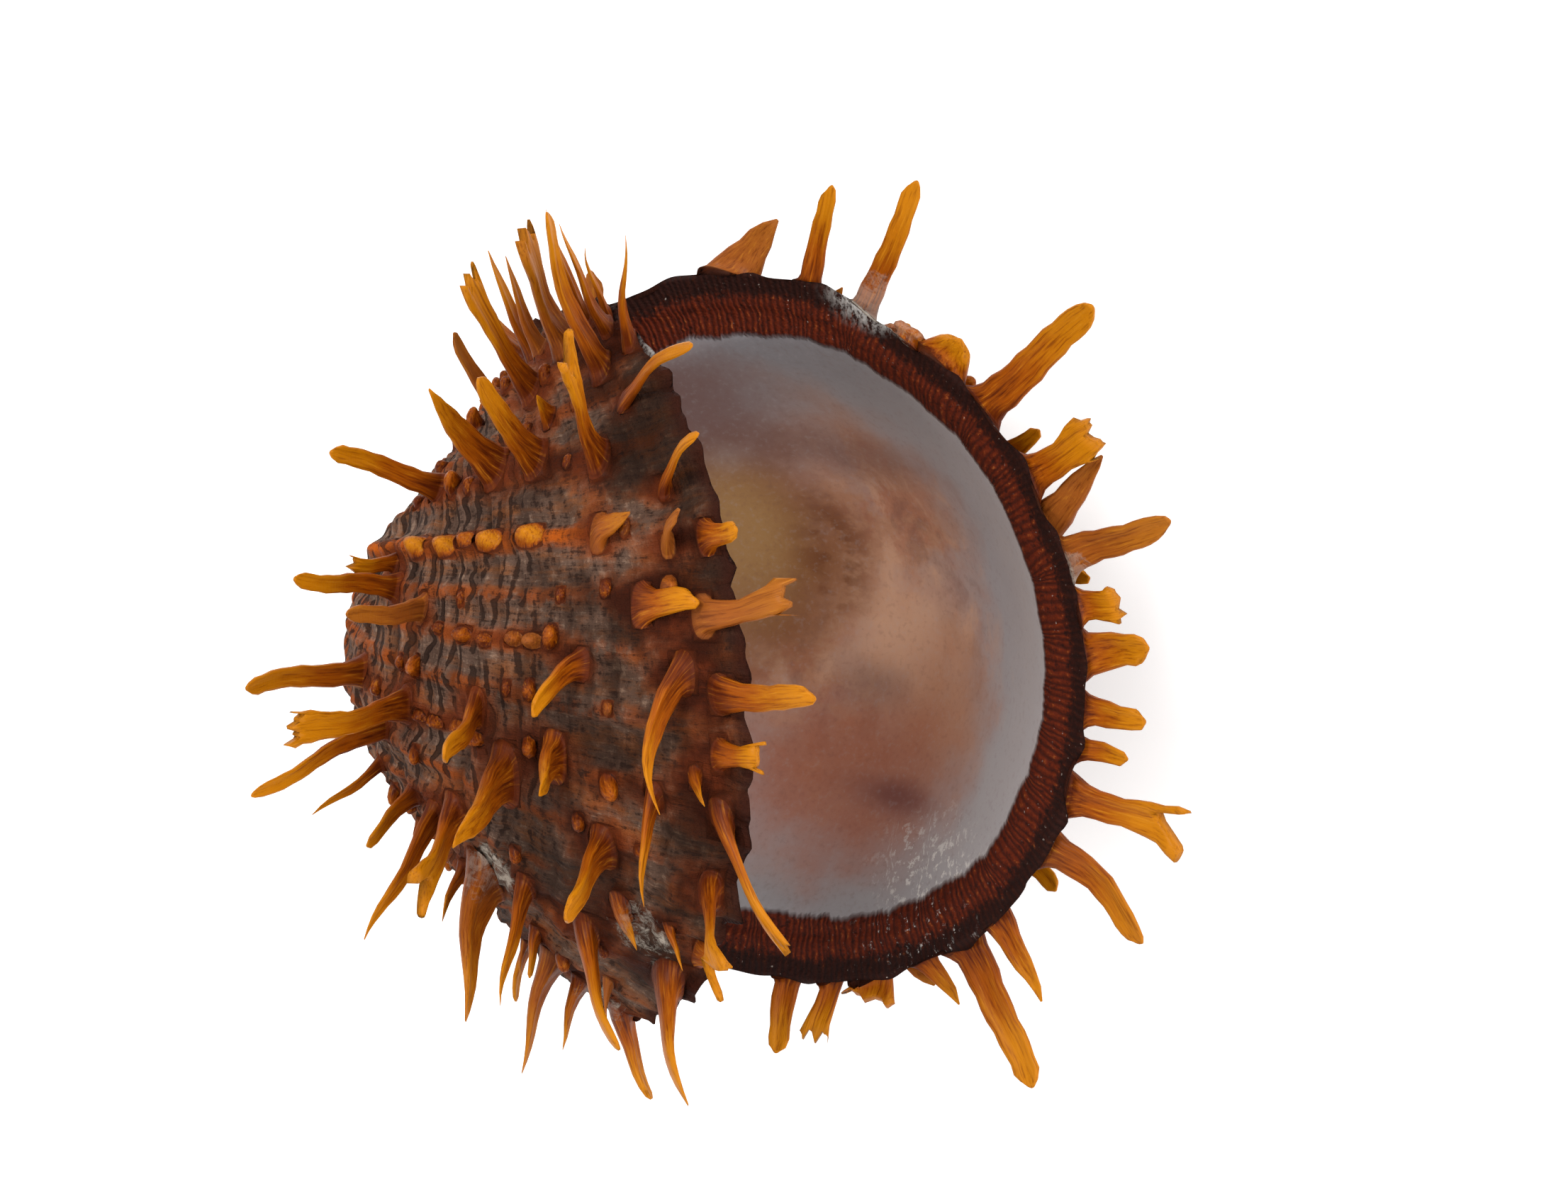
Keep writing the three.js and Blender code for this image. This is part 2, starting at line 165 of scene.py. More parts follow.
@dataclass(frozen=True)
class Spine:
    """One spine. Leans are from the surface normal to the margin, swings towards positive angles."""

    angle: float
    growth: float
    length: float
    width: float
    lean_root: float
    lean_tip: float
    swing_root: float
    swing_tip: float
    tip: Tip
    flatness: float = 0.58
    golden: float = 1.0

    @property
    def tone(self) -> float:
        """A repeatable number from 0 to 1 that sets this spine's tint and small bends."""
        return seeded(self.angle * 3.7 + self.growth * 91.0 + self.length)

    def direction(self, axes: tuple[Array, Array, Array], share: float) -> Array:
        """Give the direction at a share of the length.

        Args:
            axes: Outward, towards the margin, and sideways at the root.
            share: 0 at the root, 1 at the tip.

        Returns:
            A unit vector.
        """
        outward, marginward, sideways = axes
        wobble = 6.0 * math.sin(share * 7.0 + self.tone * 40.0) * min(1.0, share * 3.0)
        lean = math.radians(mix(self.lean_root, self.lean_tip, share) + wobble)
        swing = math.radians(mix(self.swing_root, self.swing_tip, share) - wobble * 0.7)
        return (outward * math.cos(lean) * math.cos(swing)
                + marginward * math.sin(lean) * math.cos(swing)
                + sideways * math.sin(swing))

    def width_share(self, share: float) -> float:
        """Give how wide a spine is somewhere along it.

        Args:
            share: Share of the length, from 0 at the root to 1 at the tip.

        Returns:
            The width over the width at the root.
        """
        if self.tip is Tip.POINT:
            return max(0.09, 1.1 - 0.36 * share - 0.66 * share ** 3)
        if self.tip is Tip.KNOB:
            return math.sqrt(max(0.08, 1.0 - 0.95 * share ** 2.4))
        if self.tip is Tip.BLUNT:
            close = max(0.0, (share - 0.92) / 0.08)
            return (1.06 - 0.3 * share) * math.sqrt(max(0.25, 1.0 - close * close * 0.8))
        if self.tip is Tip.RAGGED:
            return 0.98 + 0.3 * share ** 3 - 0.22 * math.sin(share * math.pi)
        return 0.98 - 0.3 * math.sin(share * math.pi) + 0.5 * share ** 3

    def end_shift(self, share: float, across: Array) -> Array:
        """How far points near the tip are moved along the spine to notch or tear its end.

        Args:
            share: Share of the length of the ring of points.
            across: Place of each point over the half width, from -1 to 1.

        Returns:
            Shifts in millimetres.
        """
        near = max(0.0, (share - 0.66) / 0.34) ** 1.3
        if self.tip is Tip.SPLIT:
            skew = (self.tone - 0.5) * 0.6
            notch = np.clip(1.0 - np.abs(across - skew) * 1.5, 0, 1)
            return -near * min(6.5, 0.3 * self.length) * notch
        if self.tip is Tip.RAGGED:
            coarse = np.sin(across * 7.0 + self.tone * 50.0)
            tear = coarse + 0.6 * np.sin(across * 15.0 + self.tone * 90.0)
            return near * tear * min(1.1, 0.09 * self.length)
        if self.tip is Tip.BLUNT:
            slant = across * (self.tone - 0.5) * 1.6
            return near * (0.35 * self.width) * (slant - across * across * 0.5)
        return np.zeros_like(across)


def spines_from(rows: Sequence[tuple]) -> list[Spine]:
    """Turn the rows of a spine list into spines."""
    return [Spine(*row[:-1], Tip(row[-1])) for row in rows]


# Each row: angle, growth, length, width, lean at the root and the tip, swing at the root and the tip,
# and how the spine ends.
UPPER_SPINES = (
    (37, 0.91, 27, 3.4, 24, 38, -1, -1, "blunt"),
    (41, 0.775, 19.5, 3.8, 23, 39, -5, -5, "ragged"),
    (46, 0.885, 17, 4.8, 29, 43, -4, -2, "ragged"),
    (56, 0.83, 15, 2.6, 28, 44, 0, 2, "point"),
    (51, 0.84, 14, 2.4, 28, 44, 0, 2, "point"),
    (42, 0.96, 22, 2.4, 29, 43, 0, 0, "point"),
    (46, 0.95, 18, 1.8, 30, 40, 0, 0, "point"),
    (39, 0.985, 19, 2.4, 36, 46, 0, 0, "point"),
    (43.5, 0.985, 15, 1.8, 36, 46, 0, 0, "point"),
    (51, 0.66, 10, 2.4, 24, 40, -3, -3, "blunt"),
    (28, 0.69, 21, 4, 22, 38, -5, -5, "point"),
    (27.5, 0.76, 21, 3.8, 22, 38, -4, -4, "blunt"),
    (25.5, 0.86, 25, 3.8, 25, 38, -1, -1, "split"),
    (31, 0.92, 20, 2.2, 60, 72, -9, -16, "blunt"),
    (28, 0.56, 22, 2.8, 25, 35, -22, -22, "blunt"),
    (21, 0.94, 13, 2.2, 36, 66, 8, 2, "blunt"),
    (18, 0.84, 8, 3, 56, 76, 8, 5, "point"),
    (16, 0.93, 8, 2.2, 30, 60, 16, 26, "blunt"),
    (16, 0.98, 7, 2.8, 52, 68, 4, 4, "blunt"),
    (12, 0.51, 23, 2.6, 30, 40, -8, -8, "blunt"),
    (15.5, 0.49, 9, 2.2, 32, 42, -20, -20, "ragged"),
    (9.5, 0.57, 22, 2.6, 38, 38, -8, -8, "blunt"),
    (-3, 0.46, 22, 3, 28, 36, 5.5, 3, "blunt"),
    (-4, 0.56, 26, 3.6, 30, 32, 9, 8, "ragged"),
    (-10, 0.52, 28, 2.4, 36, 26, 11, 4, "blunt"),
    (-20, 0.49, 13, 1.6, 30, 26, 5, 12, "point"),
    (-21, 0.56, 11, 2.4, 24, 30, 6, 8, "blunt"),
    (-19.8, 0.64, 22.5, 3, 28, 35, 1, 0, "point"),
    (-17.5, 0.65, 16, 4.8, 31, 38, 3, 4, "split"),
    (-33, 0.67, 8, 2, 25, 35, 4, 4, "point"),
    (-28.5, 0.7, 21, 6, 33, 45, 0, 0, "point"),
    (-23.5, 0.76, 18, 3, 27, 38, 2, 0, "point"),
    (-42, 0.85, 15, 4.2, 18, 30, 1, 1, "point"),
    (-43, 0.9, 9, 3.2, 14, 26, 2, 2, "point"),
    (-24.5, 0.85, 18, 4.2, 40, 58, 0, 0, "blunt"),
    (-42, 0.965, 12, 4.6, 44, 60, -4, -4, "blunt"),
    (-26, 0.96, 19, 4.8, 28, 48, 0, 0, "point"),
    (-13, 0.97, 24, 3.8, 25, 40, 0, 0, "split"),
    (-20.5, 0.985, 7, 2.4, 50, 62, 6, 12, "point"),
    (-18.5, 0.88, 7, 3.4, 42, 52, 2, 2, "point"),
    (-18.5, 0.94, 6, 1.8, 38, 46, 1, 1, "point"),
    (-1, 0.67, 22, 3.2, 40, 42, -5, 1, "blunt"),
    (-8, 0.72, 22, 5, 26, 35, 4, 1, "point"),
    (-4, 0.78, 15, 4, 28, 40, 3, 0, "point"),
    (5.5, 0.81, 11, 2.8, -5, 14, -8, -50, "blunt"),
    (5.5, 0.93, 21, 3.2, -15, 58, -32, -46, "point"),
    (-5, 0.9, 14, 2.4, 8, 35, -26, -44, "point"),
    (-3, 0.94, 6, 2, 30, 50, -10, -20, "point"),
    (-12, 0.85, 16, 4, 15, 25, 8, 8, "blunt"),
    (-5.5, 0.97, 17, 3.8, 38, 64, -22, -36, "ragged"),
    (-1, 0.97, 8, 3, 58, 72, 8, 6, "ragged"),
    (4, 0.97, 17, 3.4, 60, 75, 8, 12, "blunt"),
    (10, 0.96, 13, 3.6, 70, 85, 6, 14, "ragged"),
    (11, 0.89, 9, 3.4, 75, 85, 3, 3, "blunt"),
)

LOWER_SPINES = (
    (78, 0.98, 7, 3, 48, 56, 0, 0, "ragged"),
    (50, 0.98, 11, 5, 50, 60, -18, -24, "point"),
    (42, 0.98, 15, 2.6, 55, 55, 10, 14, "blunt"),
    (36, 0.98, 21, 3, 54, 54, 11, 14, "blunt"),
    (32.5, 0.98, 2.5, 3, 58, 64, 8, 8, "blunt"),
    (29, 0.98, 2.5, 3.4, 58, 62, 8, 8, "ragged"),
    (26, 0.98, 6, 5.4, 56, 56, 4, 4, "blunt"),
    (23, 0.98, 24, 4.4, 48, 54, 2, 6, "blunt"),
    (16.5, 0.98, 12, 4.8, 50, 52, 9, 11, "ragged"),
    (14.5, 0.98, 14, 4, 50, 52, 24, 30, "point"),
    (9.5, 0.98, 18, 4, 48, 54, 10, -2, "blunt"),
    (4.5, 0.98, 6.5, 4, 50, 50, 1, 1, "ragged"),
    (2, 0.98, 11, 4.6, 50, 52, 12, 10, "blunt"),
    (-1.5, 0.98, 10, 3.4, 50, 52, 8, 6, "blunt"),
    (-4.5, 0.98, 8, 2.6, 50, 52, 9, 6, "blunt"),
    (-9.5, 0.98, 18, 4.8, 46, 52, 9, 1, "split"),
    (-14, 0.98, 19, 3.8, 50, 62, 3, -22, "blunt"),
    (-23.5, 0.98, 13, 3.2, 50, 62, -6, -18, "point"),
    (-26, 0.98, 22, 4.4, 50, 66, -3, -18, "blunt"),
    (-30, 0.98, 8, 2.6, 45, 55, 5, 5, "point"),
    (-33, 0.98, 6, 3, 45, 52, 7, 7, "point"),
    (-37, 0.98, 3.8, 5.4, 65, 75, -23, -34, "ragged"),
    (-41.7, 0.98, 8, 3.2, 60, 72, -34, -44, "ragged"),
    (-44.3, 0.98, 11, 3.2, 60, 66, -26, -28, "blunt"),
)


@dataclass(frozen=True)
class Chain:
    """A stretch of one rib where the nubs stand close together."""

    rib: float
    low: float
    high: float
    golden: float


@dataclass(frozen=True)
class Filling:
    """Rule for the shorter spines and the nubs that stand between the conspicuous spines."""

    rows: tuple[float, ...]
    seed: int
    lean: float
    chains: tuple[Chain, ...] = ()
    share: float = 0.46
    bend: float = 15.0
    nub_step: float = 0.034
    lowest: float = 0.5
    highest: float = 0.97

    def place_is_free(self, spines: Sequence[Spine], angle: float, growth: float, room: float) -> bool:
        """Tell whether no spine roots close to a place.

        Args:
            spines: The spines to look at.
            angle: Angle of the place, in degrees.
            growth: Growth of the place.
            room: Share of the usual room that is asked for.

        Returns:
            True where the place is free.
        """
        for spine in spines:
            sideways = (spine.angle - angle) * growth / (5.0 * room)
            lengthways = (spine.growth - growth) / (0.07 * room)
            if sideways ** 2 + lengthways ** 2 <= 1.0:
                return False
        return True

    def short_spines(self, known: Sequence[Spine]) -> list[Spine]:
        """Give the short spines, a seeded choice of places along the ribs.

        Args:
            known: Conspicuous spines, which keep their room.

        Returns:
            The short spines.
        """
        spines = list(known)
        for rib_number, rib in enumerate(RIB_ANGLES):
            for row_number, row in enumerate(self.rows):
                number = self.seed + rib_number * 31 + row_number * 7
                angle = rib + mix(-1.5, 1.5, seeded(number))
                growth = min(LAST_GROWTH, row + mix(-0.02, 0.02, seeded(number + 1)))
                wanted = seeded(number + 2) < self.share
                if not wanted or not self.place_is_free(spines, angle, growth, 1.0):
                    continue
                vigour = seeded(number + 3)
                length = mix(4, 13, vigour ** 1.5) * growth
                width = mix(1.6, 3, vigour)
                swing = mix(-15, 15, seeded(number + 4))
                tip = Tip.BLUNT if vigour > 0.5 else Tip.POINT
                spines.append(Spine(angle, growth, length, width, self.lean, self.lean + self.bend,
                                    0, swing, tip))
        return spines[len(known):]

    def chain(self, rib: float, growth: float) -> float:
        """Look for a chain of nubs.

        Args:
            rib: Angle of the rib, in degrees.
            growth: Growth of the place on the rib.

        Returns:
            How golden the chain is there, or 0 where there is none.
        """
        for chain in self.chains:
            if rib == chain.rib and chain.low <= growth <= chain.high:
                return chain.golden
        return 0.0

    def nubs(self, known: Sequence[Spine]) -> list[Spine]:
        """Give low rounded nubs along the ribs: close together in chains, fewer towards the margin.

        Args:
            known: Spines that are already placed.

        Returns:
            The nubs.
        """
        nubs: list[Spine] = []
        rows = int((self.highest - self.lowest) / self.nub_step)
        for rib_number, rib in enumerate(RIB_ANGLES):
            for row in range(rows):
                number = self.seed + 5000 + rib_number * 57 + row * 13
                growth = self.lowest + (row + mix(0.0, 0.45, seeded(number))) * self.nub_step
                chained = self.chain(rib, growth)
                angle = rib + mix(-0.5, 0.5, seeded(number + 1)) * (1.0 if chained else 2.2)
                wanted = 1.0 if chained else mix(0.95, 0.22, growth)
                if seeded(number + 2) > wanted:
                    continue
                if not self.place_is_free(known, angle, growth, 0.3 if chained else 0.5):
                    continue
                vigour = seeded(number + 3)
                if chained:
                    length = mix(0.8, 1.9, vigour)
                    width = mix(1.9, 2.7, vigour) * min(1.0, 0.55 + 0.2 * chained)
                    flatness, golden = 1.7, chained
                else:
                    length = mix(0.9, 3.6, vigour ** 2.5)
                    width = mix(1.7, 2.9, vigour)
                    flatness, golden = 0.75, 0.6
                nubs.append(Spine(angle, growth, length, width * growth ** 0.3, 30, 62, 0,
                                  mix(-20, 20, seeded(number + 4)), Tip.KNOB, flatness, golden))
        return nubs


# ---- The valve surface -----------------------------------------------------------------------


@dataclass(frozen=True)
class Bowl:
    """The hollow inside a valve."""

    centre: float
    side: float
    along_height: float
    along_length: float
    depth: float


@dataclass(frozen=True)
class Ear:
    """A swelling of the margin at one side."""

    share: float
    angle: float
    width: float


@dataclass(frozen=True)
class ValveForm:
    """Size and growth of one valve."""

    height: float
    length: float
    egg: float
    beak: float
    bowl: Bowl
    ear: Ear
    fullness: float
    lopsided: float
    seed: int
    tooth_offset: float
    socket_offset: float
    notch_angle: float = 31.0
    notch_depth: float = 0.0
    crest: float = 0.0
    frill: float = 0.0

    def margin_radius(self, angle: Array) -> Array:
        """Give the egg-shaped margin.

        Args:
            angle: Angle of each point, in radians.

        Returns:
            Distances from the middle of the hinge to the margin.
        """
        a = self.height / (1 + self.egg)
        b = self.length / 2
        cosine = np.cos(angle)
        curve = (cosine / a) ** 2 + (np.sin(angle) / b) ** 2
        pull = self.egg * cosine / a
        egg = (pull + np.sqrt(pull * pull + (1 - self.egg ** 2) * curve)) / curve
        from_ear = (np.degrees(angle) - self.ear.angle) / self.ear.width
        return egg * (1.0 + self.ear.share * np.exp(-from_ear * from_ear))

    def unevenness(self, growth: Array, angle: Array) -> Array:
        """Make the margin slightly irregular.

        Args:
            growth: Growth of each point, from 0 to 1.
            angle: Angle of each point, in radians.

        Returns:
            Factors on the radius.
        """
        wave = Ripple(self.seed, 1.2, 3.6)(angle, growth * 0.4) * 0.006
        wave = wave + Ripple(self.seed + 7, 5.0, 13.0, 9)(angle, growth * 0.1) * 0.0035
        if self.frill:
            jags = Ripple(self.seed + 17, 8.0, 24.0, 11)(angle, growth * 0.2)
            wave = wave + jags * self.frill * growth ** 16
        notch = np.exp(-((np.degrees(angle) - self.notch_angle) / 4.0) ** 2) * self.notch_depth
        fade = smooth(np.cos(angle), 0.0, 0.3) * growth ** 5
        return 1.0 + (wave - notch / self.height) * fade

    def bare(self, growth: Array, angle: Array) -> Array:
        """Follow the growth spiral, before ribs and growth grooves are added.

        Args:
            growth: Growth of each point, from 0 to 1.
            angle: Angle of each point, in radians.

        Returns:
            Points of the bare outside.
        """
        radius = growth * self.margin_radius(angle) * self.unevenness(growth, angle)
        turn = np.log(1.0 / growth)
        cosine = np.abs(np.cos(angle))
        skew = self.lopsided * np.sin(angle)
        fullness = self.fullness * (1.0 - skew) * cosine ** (SHOULDER + skew)
        return np.stack([
            radius * cosine * np.cos(turn),
            radius * np.sin(angle),
            radius * fullness * np.sin(turn),
        ], axis=-1)

    def axes(self, growth: Array, angle: Array) -> tuple[Array, Array, Array]:
        """Find the directions on the outside.

        Args:
            growth: Growth of each point, from 0 to 1.
            angle: Angle of each point, in radians.

        Returns:
            Unit vectors outward, towards the margin, and sideways.
        """
        step = 1e-3
        marginward = unit(self.bare(growth + step, angle) - self.bare(growth - step, angle))
        along = self.bare(growth, angle + step) - self.bare(growth, angle - step)
        outward = unit(np.cross(marginward, along))
        return outward, marginward, np.cross(outward, marginward)

    def ribs(self, growth: Array, angle: Array) -> Array:
        """Tell how much a place lies on one of the main ribs.

        Args:
            growth: Growth of each point, from 0 to 1.
            angle: Angle of each point, in radians.

        Returns:
            Shares from 0 to 1, and up to 2 along a raised crest.
        """
        radius = growth * self.margin_radius(angle)
        total = np.zeros(np.broadcast(growth, angle).shape)
        for number, rib in enumerate(RIB_ANGLES):
            strength = 0.65 + 0.35 * seeded(self.seed + number * 3)
            if rib == CREST_RIB:
                strength = strength + self.crest * smooth(growth, 0.3, 0.45) * smooth(growth, 0.9, 0.78)
            arc = (angle - math.radians(rib)) * radius
            half = 0.75 + 0.75 * growth
            total = np.maximum(total, strength * np.exp(-(arc / half) ** 2))
        return total

    def grooves(self, growth: Array, angle: Array) -> Array:
        """Tell how deep a place lies in a growth groove: strong near the beak, broken near the margin.

        Args:
            growth: Growth of each point, from 0 to 1.
            angle: Angle of each point, in radians.

        Returns:
            Shares from 0 to 1.
        """
        wander = Ripple(self.seed + 1, 0.5, 2.2)(angle, growth)
        steps = growth * 31.0 + wander * 0.8
        nearest = np.abs(steps % 1.0 - 0.5) * 2.0
        depth = 0.55 + 0.45 * Ripple(self.seed + 5, 0.6, 2.0)(angle * 1.5, np.floor(steps + 0.5) * 0.37)
        fade = 1.0 - 0.65 * smooth(growth, 0.6, 0.85)
        return smooth(nearest, 0.45, 0.92) * np.clip(depth, 0.15, 1.0) * fade

    def relief(self, growth: Array, angle: Array) -> Array:
        """Add up ribs, growth grooves and unevenness.

        Args:
            growth: Growth of each point, from 0 to 1.
            angle: Angle of each point, in radians.

        Returns:
            Heights over the bare outside, in millimetres.
        """
        ribs = self.ribs(growth, angle)
        degrees = np.degrees(angle)
        beads = 0.7 + 0.3 * np.sin(growth * 150.0 + degrees * 0.35 + 2.0 * np.sin(growth * 31.0))
        swell = Ripple(self.seed + 2, 0.8, 3.0)(angle, growth * 1.6)
        lumps = Ripple(self.seed + 3, 3.0, 9.0, 11)(angle * 1.3, growth * 1.3)
        height = (0.95 * ribs * beads * (0.45 + 0.55 * growth) - self.grooves(growth, angle)
                  + 0.42 * lumps * (0.3 + 0.7 * growth)
                  + 0.5 * swell * np.sin(math.pi * np.clip(growth, 0, 1)) ** 0.5)
        calm = smooth(np.cos(angle), 0.03, 0.25)
        return height * calm * smooth(growth, self.beak * 0.8, self.beak + 0.1)

    def outside(self, growth: Array, angle: Array) -> Array:
        """Points of the finished outside."""
        outward = self.axes(np.minimum(growth, 0.999), angle)[0]
        return self.bare(growth, angle) + outward * self.relief(growth, angle)[..., None]

    def inside(self, growth: Array, angle: Array) -> Array:
        """Shape the inside: margin band, bowl, hinge plate, teeth and sockets.

        Args:
            growth: Growth of each point, from 0 to 1.
            angle: Angle of each point, in radians.

        Returns:
            Points of the inside.
        """
        radius = self.margin_radius(angle) * self.unevenness(growth, angle)
        cosine = np.abs(np.cos(angle))
        x = growth * radius * cosine
        y = growth * radius * np.sin(angle)
        from_margin = (1.0 - growth) * radius
        side = cosine ** SHOULDER
        lip = 0.45 * np.exp(-((from_margin - 5.8) / 1.6) ** 2)
        band = (BAND_SLOPE * np.minimum(from_margin, BAND_WIDTH) - lip) * side * smooth(x, 2, HINGE_PLATE)
        bowl = self.bowl
        reach = ((x - bowl.centre) / bowl.along_height) ** 2 + ((y - bowl.side) / bowl.along_length) ** 2
        w = band + bowl.depth * np.maximum(0.0, 1.0 - reach) ** 1.2
        for side_sign in (-1, 1):
            tooth = (x - TOOTH_ROW) ** 2 + (y - side_sign * self.tooth_offset) ** 2
            socket = (x - TOOTH_ROW) ** 2 + (y - side_sign * self.socket_offset) ** 2
            w = w - 2.0 * np.exp(-(tooth / 3.2) ** 2) + 2.2 * np.exp(-(socket / 6.0) ** 2)
        return np.stack([x, y, w], axis=-1)


@dataclass(frozen=True)
class Placement:
    """Where a valve's own frame lies in the part, in millimetres."""

    hinge: tuple[float, float, float]
    gape: float
    turned_over: bool

    def to_part(self, points: Array) -> Array:
        """Move points of the valve's frame into the part's frame.

        Args:
            points: Points of the valve's frame.

        Returns:
            The same points in the part's frame, in millimetres.
        """
        x, y, w = points[..., 0], points[..., 1], points[..., 2]
        if self.turned_over:
            placed = np.stack([x, y, -w], axis=-1)
        else:
            cosine, sine = math.cos(self.gape), math.sin(self.gape)
            placed = np.stack([x * cosine - w * sine, y, x * sine + w * cosine], axis=-1)
        return placed + np.array(self.hinge)


# ---- Shader building -------------------------------------------------------------------------


Socket = bpy.types.NodeSocket


def shade(red: int, green: int, blue: int) -> tuple[float, float, float, float]:
    """Turn a display colour into the linear colour that shaders take.

    Args:
        red: Red part, 0 to 255.
        green: Green part.
        blue: Blue part.

    Returns:
        The linear colour, fully opaque.
    """
    def linear(part: int) -> float:
        """Turn one part of the colour."""
        value = part / 255.0
        return value / 12.92 if value <= 0.04045 else ((value + 0.055) / 1.055) ** 2.4
    return linear(red), linear(green), linear(blue), 1.0


class Graph:
    """Shorthand for adding and linking the nodes of one node tree.

    Where a method takes an object, it is either a socket to link or a plain value to set.
    """

    def __init__(self, tree: bpy.types.NodeTree) -> None:
        """Work on a tree."""
        self.tree = tree

    def add(self, kind: str, **settings: object) -> bpy.types.Node:
        """Add a node.

        Args:
            kind: Its type.
            **settings: Its properties by name.

        Returns:
            The node.
        """
        node = self.tree.nodes.new(kind)
        for name, value in settings.items():
            setattr(node, name, value)
        return node

    def feed(self, socket: Socket, value: object) -> None:
        """Link a socket to another one, or set it to a plain value.

        Args:
            socket: The socket that takes the value.
            value: Another socket, or the plain value.
        """
        if isinstance(value, bpy.types.NodeSocket):
            self.tree.links.new(value, socket)
        else:
            socket.default_value = value

    def feed_all(self, node: bpy.types.Node, *values: object) -> bpy.types.Node:
        """Feed the first sockets of a node in their order.

        Args:
            node: The node.
            *values: What its sockets take.

        Returns:
            The same node.
        """
        for socket, value in zip(node.inputs, values):
            self.feed(socket, value)
        return node

    def value(self, name: str) -> Socket:
        """Read a per-point number of the mesh."""
        return self.add("ShaderNodeAttribute", attribute_name=name).outputs["Fac"]

    def vector(self, name: str) -> Socket:
        """Read a per-point vector of the mesh."""
        return self.add("ShaderNodeAttribute", attribute_name=name).outputs["Vector"]

    def place(self) -> Socket:
        """Read the place in the part's frame, in metres."""
        return self.add("ShaderNodeTexCoord").outputs["Object"]

    def math(self, operation: str, *values: object) -> Socket:
        """Do sums on up to three numbers."""
        return self.feed_all(self.add("ShaderNodeMath", operation=operation), *values).outputs[0]

    def plus(self, first: object, second: object) -> Socket:
        """Add two numbers."""
        return self.math("ADD", first, second)

    def minus(self, first: object, second: object) -> Socket:
        """Take the second number from the first."""
        return self.math("SUBTRACT", first, second)

    def times(self, first: object, second: object) -> Socket:
        """Multiply two numbers."""
        return self.math("MULTIPLY", first, second)

    def times_plus(self, first: object, second: object, third: object) -> Socket:
        """Multiply two numbers and add the third."""
        return self.math("MULTIPLY_ADD", first, second, third)

    def weaken(self, value: object, share: float, mask: Socket) -> Socket:
        """Take a share of a value away where a mask is."""
        return self.times(value, self.minus(1.0, self.times(mask, share)))

    def wobble(self, value: object, amount: float, noise: Socket) -> Socket:
        """Shift a value up and down with noise."""
        return self.times_plus(self.minus(noise, 0.5), amount, value)

    def vectors(self, operation: str, *values: object) -> bpy.types.Node:
        """Do sums on vectors, in a node that is given back whole."""
        return self.feed_all(self.add("ShaderNodeVectorMath", operation=operation), *values)

    def stretch(self, vector: object, factors: object) -> Socket:
        """Multiply vectors part by part."""
        return self.vectors("MULTIPLY", vector, factors).outputs[0]

    def join(self, x: object, y: object, z: object) -> Socket:
        """Make a vector of three numbers."""
        return self.feed_all(self.add("ShaderNodeCombineXYZ"), x, y, z).outputs[0]

    def noise(self, vector: object, scale: float, detail: float = 3.0, roughness: float = 0.55,
              distortion: float = 0.0) -> Socket:
        """Give even noise.

        Args:
            vector: Where it is read.
            scale: How many lumps fit in one unit.
            detail: How many finer layers lie over the lumps.
            roughness: How strong the finer layers are.
            distortion: How far the lumps are bent.

        Returns:
            Numbers of about 0 to 1.
        """
        node = self.add("ShaderNodeTexNoise")
        self.feed(node.inputs["Vector"], vector)
        node.inputs["Scale"].default_value = scale
        node.inputs["Detail"].default_value = detail
        node.inputs["Roughness"].default_value = roughness
        node.inputs["Distortion"].default_value = distortion
        return node.outputs["Fac"]

    def strands(self, across: Socket, along: Socket, scales: tuple[float, float], layer: float,
                detail: float = 3.0, roughness: float = 0.55) -> Socket:
        """Give noise that is drawn out into strands.

        Args:
            across: Number that runs across the strands.
            along: Number that runs along them.
            scales: How many lumps fit in one unit of each.
            layer: Any number; another one gives other strands.
            detail: How many finer layers lie over the lumps.
            roughness: How strong the finer layers are.

        Returns:
            Numbers of about 0 to 1.
        """
        vector = self.join(self.times(across, scales[0]), self.times(along, scales[1]), layer)
        return self.noise(vector, 1.0, detail, roughness)

    def band(self, value: object, low: object, high: object) -> Socket:
        """Rise smoothly from 0 to 1.

        Args:
            value: What is measured.
            low: Where the result is 0.
            high: Where it is 1; below the other limit, the result falls instead.

        Returns:
            Numbers from 0 to 1.
        """
        node = self.add("ShaderNodeMapRange", interpolation_type="SMOOTHSTEP")
        self.feed(node.inputs["Value"], value)
        self.feed(node.inputs["From Min"], low)
        self.feed(node.inputs["From Max"], high)
        return node.outputs["Result"]

    def blend(self, share: object, first: object, second: object, kind: str = "MIX") -> Socket:
        """Blend two colours.

        Args:
            share: Share of the second colour.
            first: First colour.
            second: Second colour.
            kind: How they are blended.

        Returns:
            The blend.
        """
        node = self.add("ShaderNodeMix", data_type="RGBA", blend_type=kind)
        self.feed(node.inputs[0], share)
        self.feed(node.inputs[6], first)
        self.feed(node.inputs[7], second)
        return node.outputs[2]

    def tinge(self, under: object, share: float, mask: Socket, over: object) -> Socket:
        """Lay a share of a colour over another one where a mask is."""
        return self.blend(self.times(mask, share), under, over)

    def bump(self, height: object, strength: float, distance: float) -> Socket:
        """Turn heights into a normal.

        Args:
            height: The heights, of about 0 to 1.
            strength: How much of the effect is kept.
            distance: What a height of 1 stands for, in millimetres.

        Returns:
            The normal.
        """
        node = self.add("ShaderNodeBump")
        node.inputs["Strength"].default_value = strength
        node.inputs["Distance"].default_value = distance * MM
        self.feed(node.inputs["Height"], height)
        return node.outputs["Normal"]

